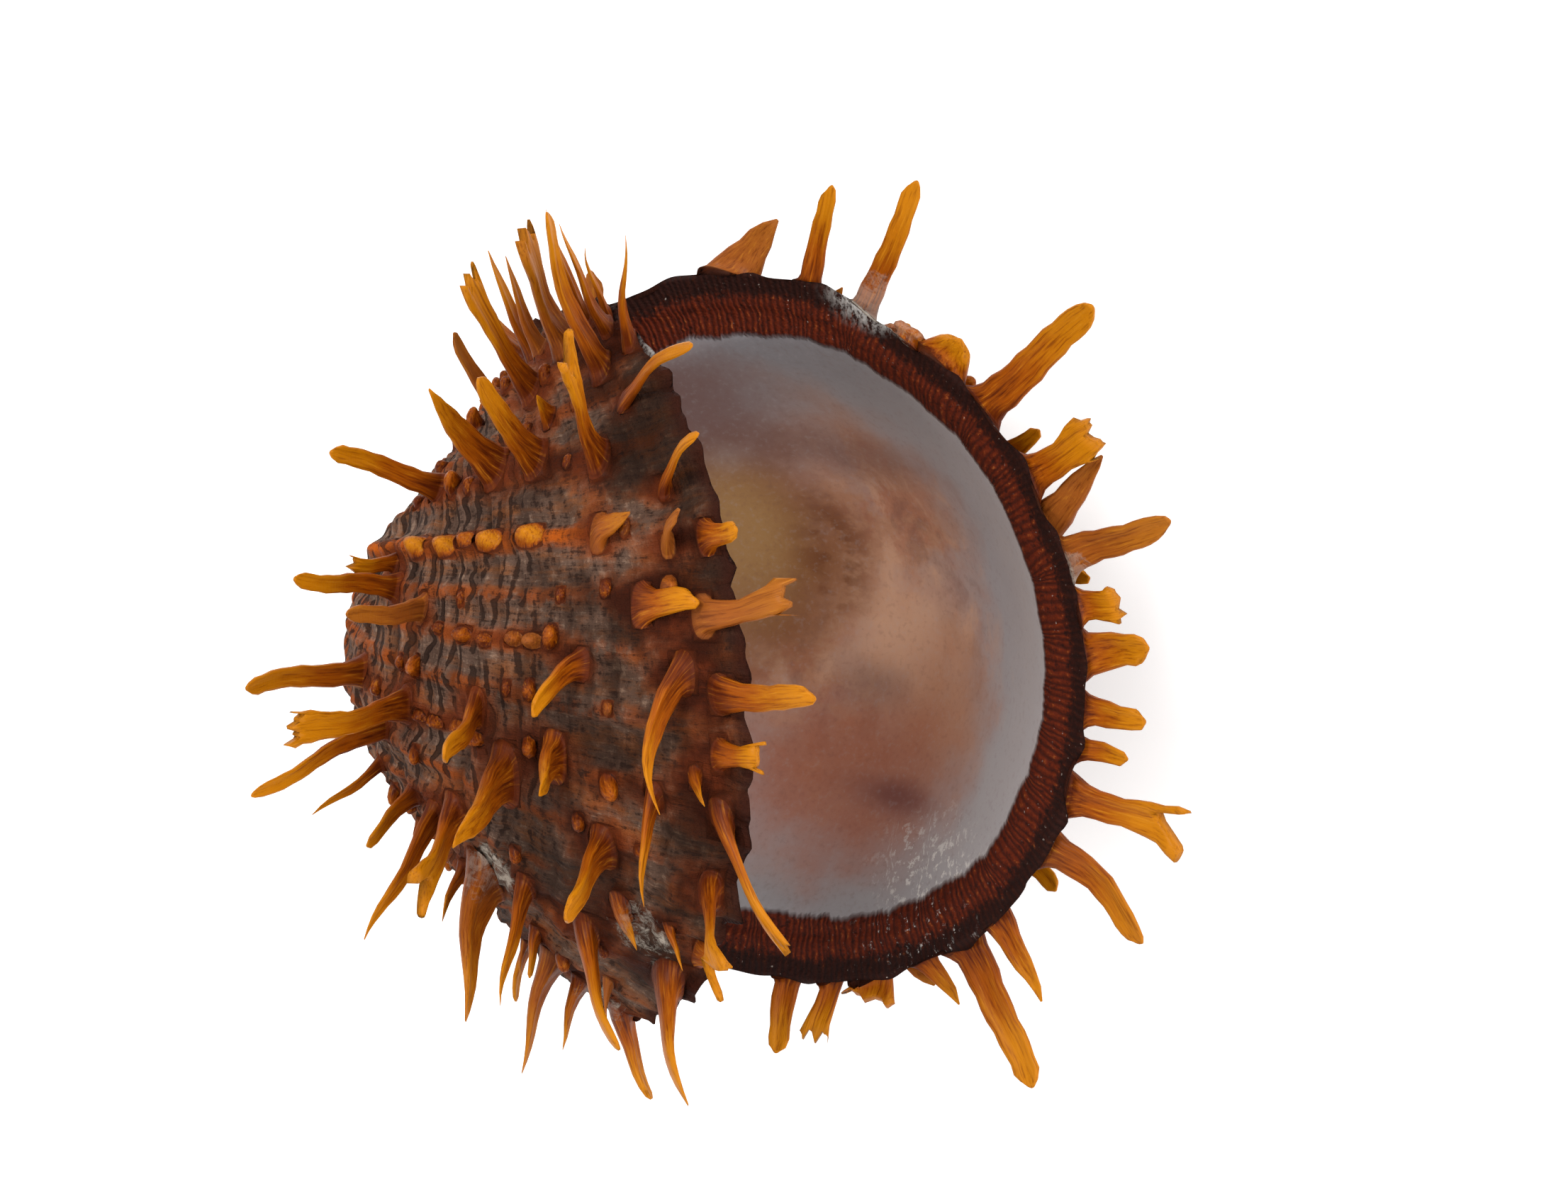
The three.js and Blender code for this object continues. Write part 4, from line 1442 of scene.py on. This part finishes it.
@dataclass
class Valve:
    """One valve with everything that grows on it."""

    name: str
    form: ValveForm
    placement: Placement
    spines: list[Spine]
    filling: Filling
    crusts: tuple[Patch, ...]
    fine_rows: int = 22
    columns: int = 344
    rows: int = 118
    plate_growth: float = 0.24
    skin: Skin = field(default_factory=Skin)

    def dress(self) -> tuple[bpy.types.Material, bpy.types.Material]:
        """Make the finishes of the outside and of the inside, in the order of Side."""
        outside = OutsideFinish(self.name + "_rust", self.crusts).make()
        return outside, InsideFinish(self.name + "_porcelain", self.placement).make()

    def build(self) -> bpy.types.Object:
        """Build the valve as one closed mesh and dress it.

        Returns:
            The object.
        """
        materials = self.dress()
        self.growths = np.linspace(self.form.beak, 1.0, self.rows + 1)
        self.angles = np.radians(np.linspace(-90.0, 90.0, self.columns + 1))
        self._trace_rim()
        self.grid = self._outside_points()
        self.flush = np.zeros(self.grid.shape)
        self.free = np.ones((self.rows, self.columns), dtype=bool)
        self.free[:, :2] = False
        self.free[:, -2:] = False
        self.free[-1:, :] = False
        kept = np.ones((self.rows, self.columns), dtype=bool)
        pulled = 0
        for spine in self._all_spines():
            block = self._block(spine)
            if block is None:
                if spine in self.spines:
                    log.info("%s: no room for the spine at %s, %s", self.name, spine.angle, spine.growth)
                continue
            top, bottom, left, right = block
            kept[top:bottom, left:right] = False
            self._pull(spine, block)
            self._stain_and_shade_root(spine, block)
            pulled += 1
        self.skin.values["flush"][0] = np.minimum(self.flush, 1.0).reshape(-1)
        self._outside_faces(kept)
        self._inside()
        piece = self.skin.make(self.name + "_grown", self.placement, materials)
        triangles = sum(len(face) - 2 for face in self.skin.faces)
        log.info("%s: %d spines and nubs, %d triangles", self.name, pulled, triangles)
        return piece

    def _trace_rim(self) -> None:
        """Walk along the margin and number its fine riblets."""
        fine = np.radians(np.linspace(-90.0, 90.0, 1441))
        self.rim = self.form.bare(np.ones(len(fine)), fine)[:, :2]
        steps = np.linalg.norm(np.diff(self.rim, axis=0), axis=1)
        self.rim_ticks = np.concatenate([[0.0], np.cumsum(steps)]) / TICK
        self.ticks = np.interp(self.angles, fine, self.rim_ticks)

    def _nearest_rim(self, points: Array) -> tuple[Array, Array]:
        """Find the nearest place of the margin.

        Args:
            points: Points of the inside.

        Returns:
            Distances from the margin and running numbers of riblets, one for each point.
        """
        apart = np.linalg.norm(points[:, None, :2] - self.rim[None, :, :], axis=2)
        nearest = apart.argmin(axis=1)
        return apart.min(axis=1), self.rim_ticks[nearest]

    def _outside_points(self) -> Array:
        """Add the points of the outside, the shared margin and the shared hinge line.

        Returns:
            Point numbers by row and column.
        """
        growth, angle = np.meshgrid(self.growths, self.angles, indexing="ij")
        points = self.form.outside(growth, angle)
        tick = np.broadcast_to(self.ticks, growth.shape)
        lay = np.stack([tick, growth * 70.0, np.zeros_like(tick)], axis=-1)
        margin = (1.0 - growth) * self.form.margin_radius(angle)
        ribs, grooves = self.form.ribs(growth, angle), self.form.grooves(growth, angle)
        return self.skin.add_points(points, lay, growth=growth, tick=tick, margin=margin,
                                    rib=ribs, groove=grooves)

    def _all_spines(self) -> list[Spine]:
        """Put the spines in the order in which they find their room.

        Returns:
            Conspicuous spines, the largest first, then short ones, then nubs.
        """
        short = self.filling.short_spines(self.spines)
        grown = list(self.spines) + short
        largest_first = sorted(self.spines, key=lambda spine: -spine.length * spine.width)
        return largest_first + short + self.filling.nubs(grown)

    def _block(self, spine: Spine) -> tuple[int, int, int, int] | None:
        """Find the block of cells that a spine is pulled out of, as near to its place as there is room.

        Args:
            spine: The spine.

        Returns:
            First and last row and first and last column, or None where there is no room.
        """
        angle = math.radians(spine.angle)
        row = (spine.growth - self.form.beak) / (1.0 - self.form.beak) * self.rows
        column = (spine.angle + 90.0) / 180.0 * self.columns
        place = np.array([spine.growth, spine.growth - 1.0 / self.rows]), np.array([angle, angle])
        row_size = float(np.linalg.norm(np.diff(self.form.bare(*place), axis=0)))
        radius = float(self.form.margin_radius(np.array(angle))) * spine.growth
        column_size = radius * math.pi / self.columns
        if self.placement.turned_over:
            centre = self.form.bare(np.array(spine.growth), np.array(angle))
            if self.placement.to_part(centre)[2] < STANDING_HEIGHT:
                return None
        conspicuous = spine in self.spines
        flare = 1.7 if conspicuous else 1.4
        deep = 1.35 if spine.tip is Tip.KNOB else 2.1
        for squeeze, reach in ((1.0, 1), (0.8, 3), (0.62, 5)):
            wide = int(np.clip(round(spine.width * flare * squeeze / column_size), 3, 14))
            tall = int(np.clip(round(spine.width * spine.flatness * deep * squeeze / row_size), 2, 7))
            shifts = range(-reach, reach + 1)
            nudges = [(down, across) for down in shifts for across in shifts]
            for down, across in sorted(nudges, key=lambda nudge: nudge[0] ** 2 + nudge[1] ** 2):
                top = int(np.clip(round(row - tall / 2) + down, 1, self.rows - 1 - tall))
                left = int(np.clip(round(column - wide / 2) + across, 2, self.columns - 2 - wide))
                if self.free[top:top + tall, left:left + wide].all():
                    self.free[top:top + tall, left:left + wide] = False
                    return top, top + tall, left, left + wide
            if not conspicuous:
                return None
        return None

    def _stain_and_shade_root(self, spine: Spine, block: tuple[int, int, int, int]) -> None:
        """Mark the outside round the root of a spine for its red-brown stain and its painted shade.

        Args:
            spine: The spine.
            block: Rows and columns of its block.
        """
        top, bottom, left, right = block
        rows = (np.arange(self.rows + 1) - 0.5 * (top + bottom)) / (bottom - top + 1.0)
        columns = (np.arange(self.columns + 1) - 0.5 * (left + right)) / (right - left + 1.0)
        rows = np.where(rows < 0, rows * 0.45, rows * 0.8)
        away = rows[:, None] ** 2 + columns[None, :] ** 2
        self.flush += np.exp(-away * 3.0) * min(0.95, 0.3 + spine.length / 14.0)

    def _pull(self, spine: Spine, block: tuple[int, int, int, int]) -> None:
        """Draw a curved, guttered spine out of a block of cells.

        Args:
            spine: The spine.
            block: Rows and columns of the block.
        """
        top, bottom, left, right = block
        loop, across, along = self._loop(block)
        base = self._grid_places(loop)
        growth = np.array(0.5 * (self.growths[top] + self.growths[bottom]))
        angle = np.array(math.radians(-90 + 180 * 0.5 * (left + right) / self.columns))
        axes = self.form.axes(np.minimum(growth, 0.995), angle)
        outward, marginward, side = axes
        centre = base.mean(axis=0)
        turn = np.arctan2(across, along)
        is_nub = spine.tip is Tip.KNOB
        bluff = 1.0 if is_nub else 0.85
        round_across = np.sign(np.sin(turn)) * np.abs(np.sin(turn)) ** bluff
        round_along = np.sign(np.cos(turn)) * np.abs(np.cos(turn)) ** bluff
        tick = float(np.interp(float(angle), self.angles, self.ticks))
        previous = loop
        reached = 0.0
        for distance in self._ring_distances(spine):
            share = distance / spine.length
            step = distance - reached
            middle = (reached + 0.5 * step) / spine.length
            centre = centre + spine.direction(axes, middle) * step
            reached = distance
            settle = float(smooth(np.array(distance), 0.0, 0.75 * spine.width))
            heading = unit(outward * (1.0 - settle) + spine.direction(axes, share) * settle)
            side = unit(side - heading * (side @ heading))
            through = np.cross(side, heading)
            width = spine.width * spine.width_share(share)
            thinning = 1.0 if is_nub else mix(1.0, 0.5, share ** 1.2)
            thick = width * spine.flatness * thinning
            bulge = 1.0 + 0.06 * math.sin(distance * 1.3 + spine.tone * 30.0)
            if is_nub:
                flare = 1.0 + 0.35 * math.exp(-4.0 * share)
                hollow = 1.0
            else:
                flare = 1.0 + 0.62 * math.exp(-distance / (0.34 * spine.width))
                gutter = 0.8 * min(1.0, share * 3.0) * (1.0 - round_across ** 2) ** 1.5
                hollow = np.where(round_along > 0, 1.0 - gutter, 1.0)
            section = (centre
                       + np.outer(round_across * 0.5 * width * flare * bulge, side)
                       + np.outer(round_along * 0.5 * thick * flare * hollow, through))
            section = section + np.outer(spine.end_shift(share, round_across), heading)
            lay = np.stack([round_across * width, round_along * thick * 1.2,
                            np.full(len(loop), distance + spine.tone * 300.0)], axis=-1)
            golden = max(0.03, share) * min(1.0, spine.golden * spine.length / 6.0)
            numbers = self.skin.add_points(
                section, lay, growth=growth, tick=tick, rib=1.0, tone=spine.tone, flush=1.0,
                thorn=golden, margin=(1.0 - growth) * self.form.height)
            after = np.roll(previous, -1)
            faces = np.stack([previous, after, np.roll(numbers, -1), numbers], axis=1)
            self.skin.add_faces(faces, Side.OUTSIDE)
            previous = numbers
        self._cap(previous, bottom - top, right - left)

    def _grid_places(self, loop: Array) -> Array:
        """Places of points of the outside grid."""
        return self.skin.points[0][loop]

    def _loop(self, block: tuple[int, int, int, int]) -> tuple[Array, Array, Array]:
        """Walk round a block of cells.

        Args:
            block: Rows and columns of the block.

        Returns:
            Point numbers, and each point's place across and along the block, from -1 to 1.
        """
        top, bottom, left, right = block
        cells = [(row, left) for row in range(top, bottom)]
        cells += [(bottom, column) for column in range(left, right)]
        cells += [(row, right) for row in range(bottom, top, -1)]
        cells += [(top, column) for column in range(right, left, -1)]
        rows = np.array([cell[0] for cell in cells])
        columns = np.array([cell[1] for cell in cells])
        along = 2.0 * (rows - top) / (bottom - top) - 1.0
        across = 2.0 * (columns - left) / (right - left) - 1.0
        return self.grid[rows, columns], across, along

    def _ring_distances(self, spine: Spine) -> list[float]:
        """Choose where the rings of a spine stand.

        Args:
            spine: The spine.

        Returns:
            Distances from the root, in millimetres.
        """
        if spine.tip is Tip.KNOB or spine.length < 1.5 * spine.width:
            return [spine.length * share for share in (0.06, 0.36, 0.68, 0.9, 1.0)]
        start = [share * spine.width for share in (0.04, 0.17, 0.4, 0.75)]
        rest = max(3, int(round((spine.length - start[-1]) / RING_STEP)))
        reach = np.linspace(start[-1], spine.length, rest + 1)[1:]
        ends = [spine.length - 0.25 * (reach[-1] - reach[-2])] if spine.tip is Tip.BLUNT else []
        return start + sorted(list(reach) + ends)

    def _cap(self, ring: Array, tall: int, wide: int) -> None:
        """Close the end of a spine with faces across its flat section.

        Args:
            ring: Point numbers of the last ring, in the order of the loop.
            tall: Cells along the short sides of the loop.
            wide: Cells along the long sides.
        """
        near = ring[tall:tall + wide + 1]
        far = np.concatenate([ring[2 * tall + wide:], ring[:1]])[::-1]
        faces = [(far[k], near[k], near[k + 1], far[k + 1]) for k in range(wide)]
        self.skin.add_faces(faces, Side.OUTSIDE)
        self.skin.add_faces([tuple(ring[:tall + 1])], Side.OUTSIDE)
        self.skin.add_faces([tuple(ring[tall + wide:2 * tall + wide + 1])], Side.OUTSIDE)

    def _outside_faces(self, kept: Array) -> None:
        """Add the faces of the outside that no spine took, and the flat area at the beak.

        Args:
            kept: Which cells of the grid are still there.
        """
        rows, columns = np.nonzero(kept)
        grid = self.grid
        faces = np.stack([grid[rows, columns], grid[rows + 1, columns],
                          grid[rows + 1, columns + 1], grid[rows, columns + 1]], axis=1)
        self.skin.add_faces(faces, Side.OUTSIDE)
        self.apex = int(self.skin.add_points(np.zeros((1, 3)), np.zeros((1, 3)))[0])
        fan = [(self.apex, grid[0, k], grid[0, k + 1]) for k in range(self.columns)]
        self.skin.add_faces(fan, Side.OUTSIDE)

    def _inside_rows(self) -> list[int]:
        """Choose the rows of the inside, close together where detail is fine.

        Returns:
            Row numbers, from the margin to the beak.
        """
        rows = list(range(self.rows, self.rows - self.fine_rows - 1, -1))
        plate = int((self.plate_growth - self.form.beak) / (1 - self.form.beak) * self.rows)
        while rows[-1] > plate + 3:
            rows.append(rows[-1] - 3)
        rows += list(range(rows[-1] - 1, -1, -1))
        return rows

    def _inside(self) -> None:
        """Add the inside, sharing the margin and the hinge line with the outside."""
        rows = self._inside_rows()
        halved = rows[self.fine_rows]
        upper_row, upper_step = self.grid[self.rows], 1
        for row_above, row in zip(rows[:-1], rows[1:]):
            step = 1 if row > halved else 2
            numbers = self._inside_row(row, step)
            self._inside_strip(upper_row, upper_step, row_above, numbers, step, row)
            upper_row, upper_step = numbers, step
        stops = range(0, self.columns, upper_step)
        fan = [(self.apex, upper_row[k + upper_step], upper_row[k]) for k in stops]
        self.skin.add_faces(fan, Side.INSIDE)

    def _inside_row(self, row: int, step: int) -> Array:
        """Add one row of points of the inside.

        Args:
            row: Row number.
            step: 1 for every column, 2 for every other one.

        Returns:
            Point numbers by column, with the ends on the shared hinge line.
        """
        picks = np.arange(step, self.columns, step)
        growth = np.full(len(picks), self.growths[row])
        angle = self.angles[picks]
        points = self.form.inside(growth, angle)
        margin, ticks = self._nearest_rim(points)
        lay = np.stack([ticks, margin, np.zeros_like(ticks)], axis=-1)
        made = self.skin.add_points(points, lay, growth=growth, tick=ticks, margin=margin)
        numbers = np.full(self.columns + 1, -1)
        numbers[picks] = made
        numbers[0] = self.grid[row, 0]
        numbers[-1] = self.grid[row, self.columns]
        return numbers

    def _inside_strip(self, above: Array, above_step: int, row_above: int,
                      below: Array, below_step: int, row: int) -> None:
        """Add the faces between two rows of the inside.

        Args:
            above: Point numbers of the row nearer to the margin.
            above_step: Its column step.
            row_above: Its row number.
            below: Point numbers of the other row.
            below_step: Its column step.
            row: Its row number.
        """
        faces = []
        for k in range(0, self.columns, below_step):
            face = [below[k], below[k + below_step]]
            if k + below_step == self.columns:
                face += [self.grid[r, self.columns] for r in range(row + 1, row_above)]
            face += [above[j] for j in range(k + below_step, k - 1, -above_step)]
            if k == 0:
                face += [self.grid[r, 0] for r in range(row_above - 1, row, -1)]
            faces.append(face)
        self.skin.add_faces(faces, Side.INSIDE)


# ---- Pieces ----------------------------------------------------------------------------------


def squared_off(wave: float) -> float:
    """Flatten the crests of a wave, which squares off a round section."""
    return max(-0.98, min(0.98, 1.15 * wave))


@dataclass
class Ligament:
    """The dried inner ligament between the hinge plates."""

    low: Vector
    high: Vector
    layers: int = 9
    around: int = 40

    def build(self) -> bpy.types.Object:
        """Build and dress the wedge: a lofted stack of thin, slightly uneven layers.

        Returns:
            The object.
        """
        material = LigamentFinish().make()
        near, far = self.low.x, self.high.x
        half = 0.5 * (self.high.y - self.low.y)
        rise = math.tan(GAPE)
        tall = self.high.z - self.low.z
        hinge_x = far - tall / rise
        around = self.around
        points = []
        for layer in range(self.layers + 1):
            share = layer / self.layers
            for step in range(around):
                turn = 2 * math.pi * step / around
                wave = 0.93 + 0.03 * math.sin(5 * turn + layer) + 0.04 * math.cos(layer * 2.4)
                x = mix(near, far, 0.5) + 0.5 * (far - near) * wave * squared_off(math.cos(turn))
                y = half * wave * squared_off(math.sin(turn))
                top = (x - hinge_x) * rise
                points.append((x, y, self.low.z + share * top))
        faces = []
        for layer in range(self.layers):
            for step in range(around):
                after = (step + 1) % around
                start = layer * around
                faces.append((start + step, start + after, start + around + after, start + around + step))
        faces.append(tuple(reversed(range(around))))
        faces.append(tuple(range(self.layers * around, (self.layers + 1) * around)))
        mesh = bpy.data.meshes.new("ligament_wedge")
        mesh.from_pydata(points, [], faces)
        mesh.polygons.foreach_set("use_smooth", np.ones(len(faces), dtype=bool))
        mesh.materials.append(material)
        piece = bpy.data.objects.new("ligament_wedge", mesh)
        bpy.context.scene.collection.objects.link(piece)
        log.info("ligament_wedge: %d layers", self.layers)
        return piece


@dataclass
class Studio:
    """Floor, soft lights and camera.

    Distances are metres. The camera looks past the hinge: its aim is given as slopes to the right
    of the hinge and below it.
    """

    hinge: tuple[float, float, float]
    yaw: float = math.radians(41.3)
    pitch: float = math.radians(13.6)
    roll: float = math.radians(-1.1)
    distance: float = 0.779
    lens: float = 140.9
    aim_right: float = 0.0448265
    aim_down: float = 0.001733
    sensor: float = 36.0
    lit_place: tuple[float, float, float] = (0.0, 0.0, 0.04)
    sky: float = 0.92

    def build(self) -> None:
        """Build everything that isn't the shell."""
        self._floor()
        self._lights()
        self._camera()

    def _floor(self) -> None:
        """Lay the floor."""
        mesh = bpy.data.meshes.new("studio_floor")
        half, cells = 3.0, 12
        steps = [half * (2 * k / cells - 1) for k in range(cells + 1)]
        points = [(x, y, 0.0) for y in steps for x in steps]
        row = cells + 1
        corners = [r * row + c for r in range(cells) for c in range(cells)]
        faces = [(corner, corner + 1, corner + row + 1, corner + row) for corner in corners]
        mesh.from_pydata(points, [], faces)
        mesh.materials.append(FloorFinish().make())
        floor = bpy.data.objects.new("studio_floor", mesh)
        bpy.context.scene.collection.objects.link(floor)

    def _light(self, name: str, place: tuple[float, float, float], size: float, power: float) -> None:
        """Hang one soft square light that looks at the shell.

        Args:
            name: Name of the light.
            place: Where it hangs, in metres.
            size: Length of its sides, in metres.
            power: Its power in watts.
        """
        data = bpy.data.lights.new(name, "AREA")
        data.size = size
        data.energy = power
        lamp = bpy.data.objects.new(name, data)
        lamp.location = place
        aim = Vector(self.lit_place) - lamp.location
        lamp.rotation_euler = aim.to_track_quat("-Z", "Y").to_euler()
        bpy.context.scene.collection.objects.link(lamp)

    def _lights(self) -> None:
        """Hang the lights and set the pale surroundings."""
        self._light("key", (0.1, 0.75, 0.95), 0.5, 9.0)
        self._light("side", (1.0, 0.1, 0.5), 0.8, 8.0)
        self._light("fill", (-0.6, -0.5, 0.9), 0.9, 3.0)
        world = bpy.data.worlds.new("studio_world")
        world.use_nodes = True
        background = world.node_tree.nodes["Background"]
        background.inputs["Color"].default_value = (1.0, 1.0, 1.0, 1.0)
        background.inputs["Strength"].default_value = self.sky
        bpy.context.scene.world = world

    def _camera(self) -> None:
        """Set the camera."""
        back = Vector((math.sin(self.yaw) * math.cos(self.pitch), math.sin(self.pitch),
                       math.cos(self.yaw) * math.cos(self.pitch)))
        right = Vector((0, 1, 0)).cross(back).normalized()
        upward = back.cross(right)
        turned_right = right * math.cos(self.roll) + upward * math.sin(self.roll)
        turned_up = upward * math.cos(self.roll) - right * math.sin(self.roll)
        ahead = (turned_right * self.aim_right - turned_up * self.aim_down - back).normalized()
        side = ahead.cross(turned_up).normalized()
        above = side.cross(ahead)
        turn = Matrix((side, above, -ahead)).transposed().to_4x4()
        data = bpy.data.cameras.new("camera")
        data.lens = self.lens
        data.sensor_width = self.sensor
        data.clip_start = 0.01
        camera = bpy.data.objects.new("camera", data)
        place = Vector(self.hinge) * MM + back * self.distance
        camera.matrix_world = Matrix.Translation(place) @ turn
        bpy.context.scene.collection.objects.link(camera)
        bpy.context.scene.camera = camera


# ---- The shell -------------------------------------------------------------------------------


UPPER_FORM = ValveForm(
    height=88, length=85, egg=0.85, beak=0.12,
    bowl=Bowl(centre=45, side=-2, along_height=35, along_length=33.5, depth=18.5),
    ear=Ear(share=0.1, angle=-56, width=16),
    fullness=0.96, lopsided=0.2, seed=11, tooth_offset=11.0, socket_offset=5.5, crest=1.0, frill=0.016)
LOWER_FORM = ValveForm(
    height=90, length=88.5, egg=0.9, beak=0.2,
    bowl=Bowl(centre=46, side=0, along_height=37, along_length=37, depth=20.5),
    ear=Ear(share=0.08, angle=-62, width=12),
    fullness=1.0, lopsided=0.0, seed=23, tooth_offset=5.5, socket_offset=11.0, notch_depth=1.3)

UPPER_FILLING = Filling(
    rows=(0.55, 0.68, 0.8, 0.9, 0.98), seed=100, lean=25,
    chains=(Chain(CREST_RIB, 0.53, 0.8, 2.6), Chain(7, 0.55, 0.75, 0.8), Chain(-4.5, 0.53, 0.7, 0.8)))
LOWER_FILLING = Filling(rows=(0.62, 0.76, 0.88, 0.98), seed=500, lean=48)

UPPER_CRUSTS = (Patch((27, -26, 68.5), (6, 6, 8)), Patch((9, -41, 54), (6, 5, 6)),
                Patch((3.5, -23, 68), (5, 5, 5)))
LOWER_CRUSTS = (Patch((30, 41.5, 26), (9, 6, 7)), Patch((58.5, 14, 26), (3, 3, 4)))


def main() -> None:
    """Build the shell, its finishes and the studio."""
    logging.basicConfig(level=logging.INFO, format="%(name)s: %(message)s")
    bpy.context.scene.view_settings.view_transform = "Standard"
    low, high = (Vector(corner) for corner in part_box("ligament"))
    hinge = (low.x / MM - LIGAMENT_NEAR, 0.0, low.z / MM - LIGAMENT_CLEARANCE)
    for effect in (soft_spot, woven_growth, pale_crust, thorn_tint):
        effect()
    Studio(hinge).build()
    lower_place = Placement(hinge, 0.0, True)
    upper_place = Placement((hinge[0], 0.0, hinge[2] + HINGE_GAP), GAPE, False)
    lower = Valve("lower_valve", LOWER_FORM, lower_place, spines_from(LOWER_SPINES), LOWER_FILLING,
                  LOWER_CRUSTS)
    upper = Valve("upper_valve", UPPER_FORM, upper_place, spines_from(UPPER_SPINES), UPPER_FILLING,
                  UPPER_CRUSTS, fine_rows=14)
    for valve, slot in ((lower, "lower_shell"), (upper, "upper_shell")):
        piece = valve.build()
        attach(piece, "root")
        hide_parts(valve.name)
    wedge = Ligament(low, high).build()
    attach(wedge, "root")
    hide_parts("ligament")


if __name__ == "__main__":
    main()
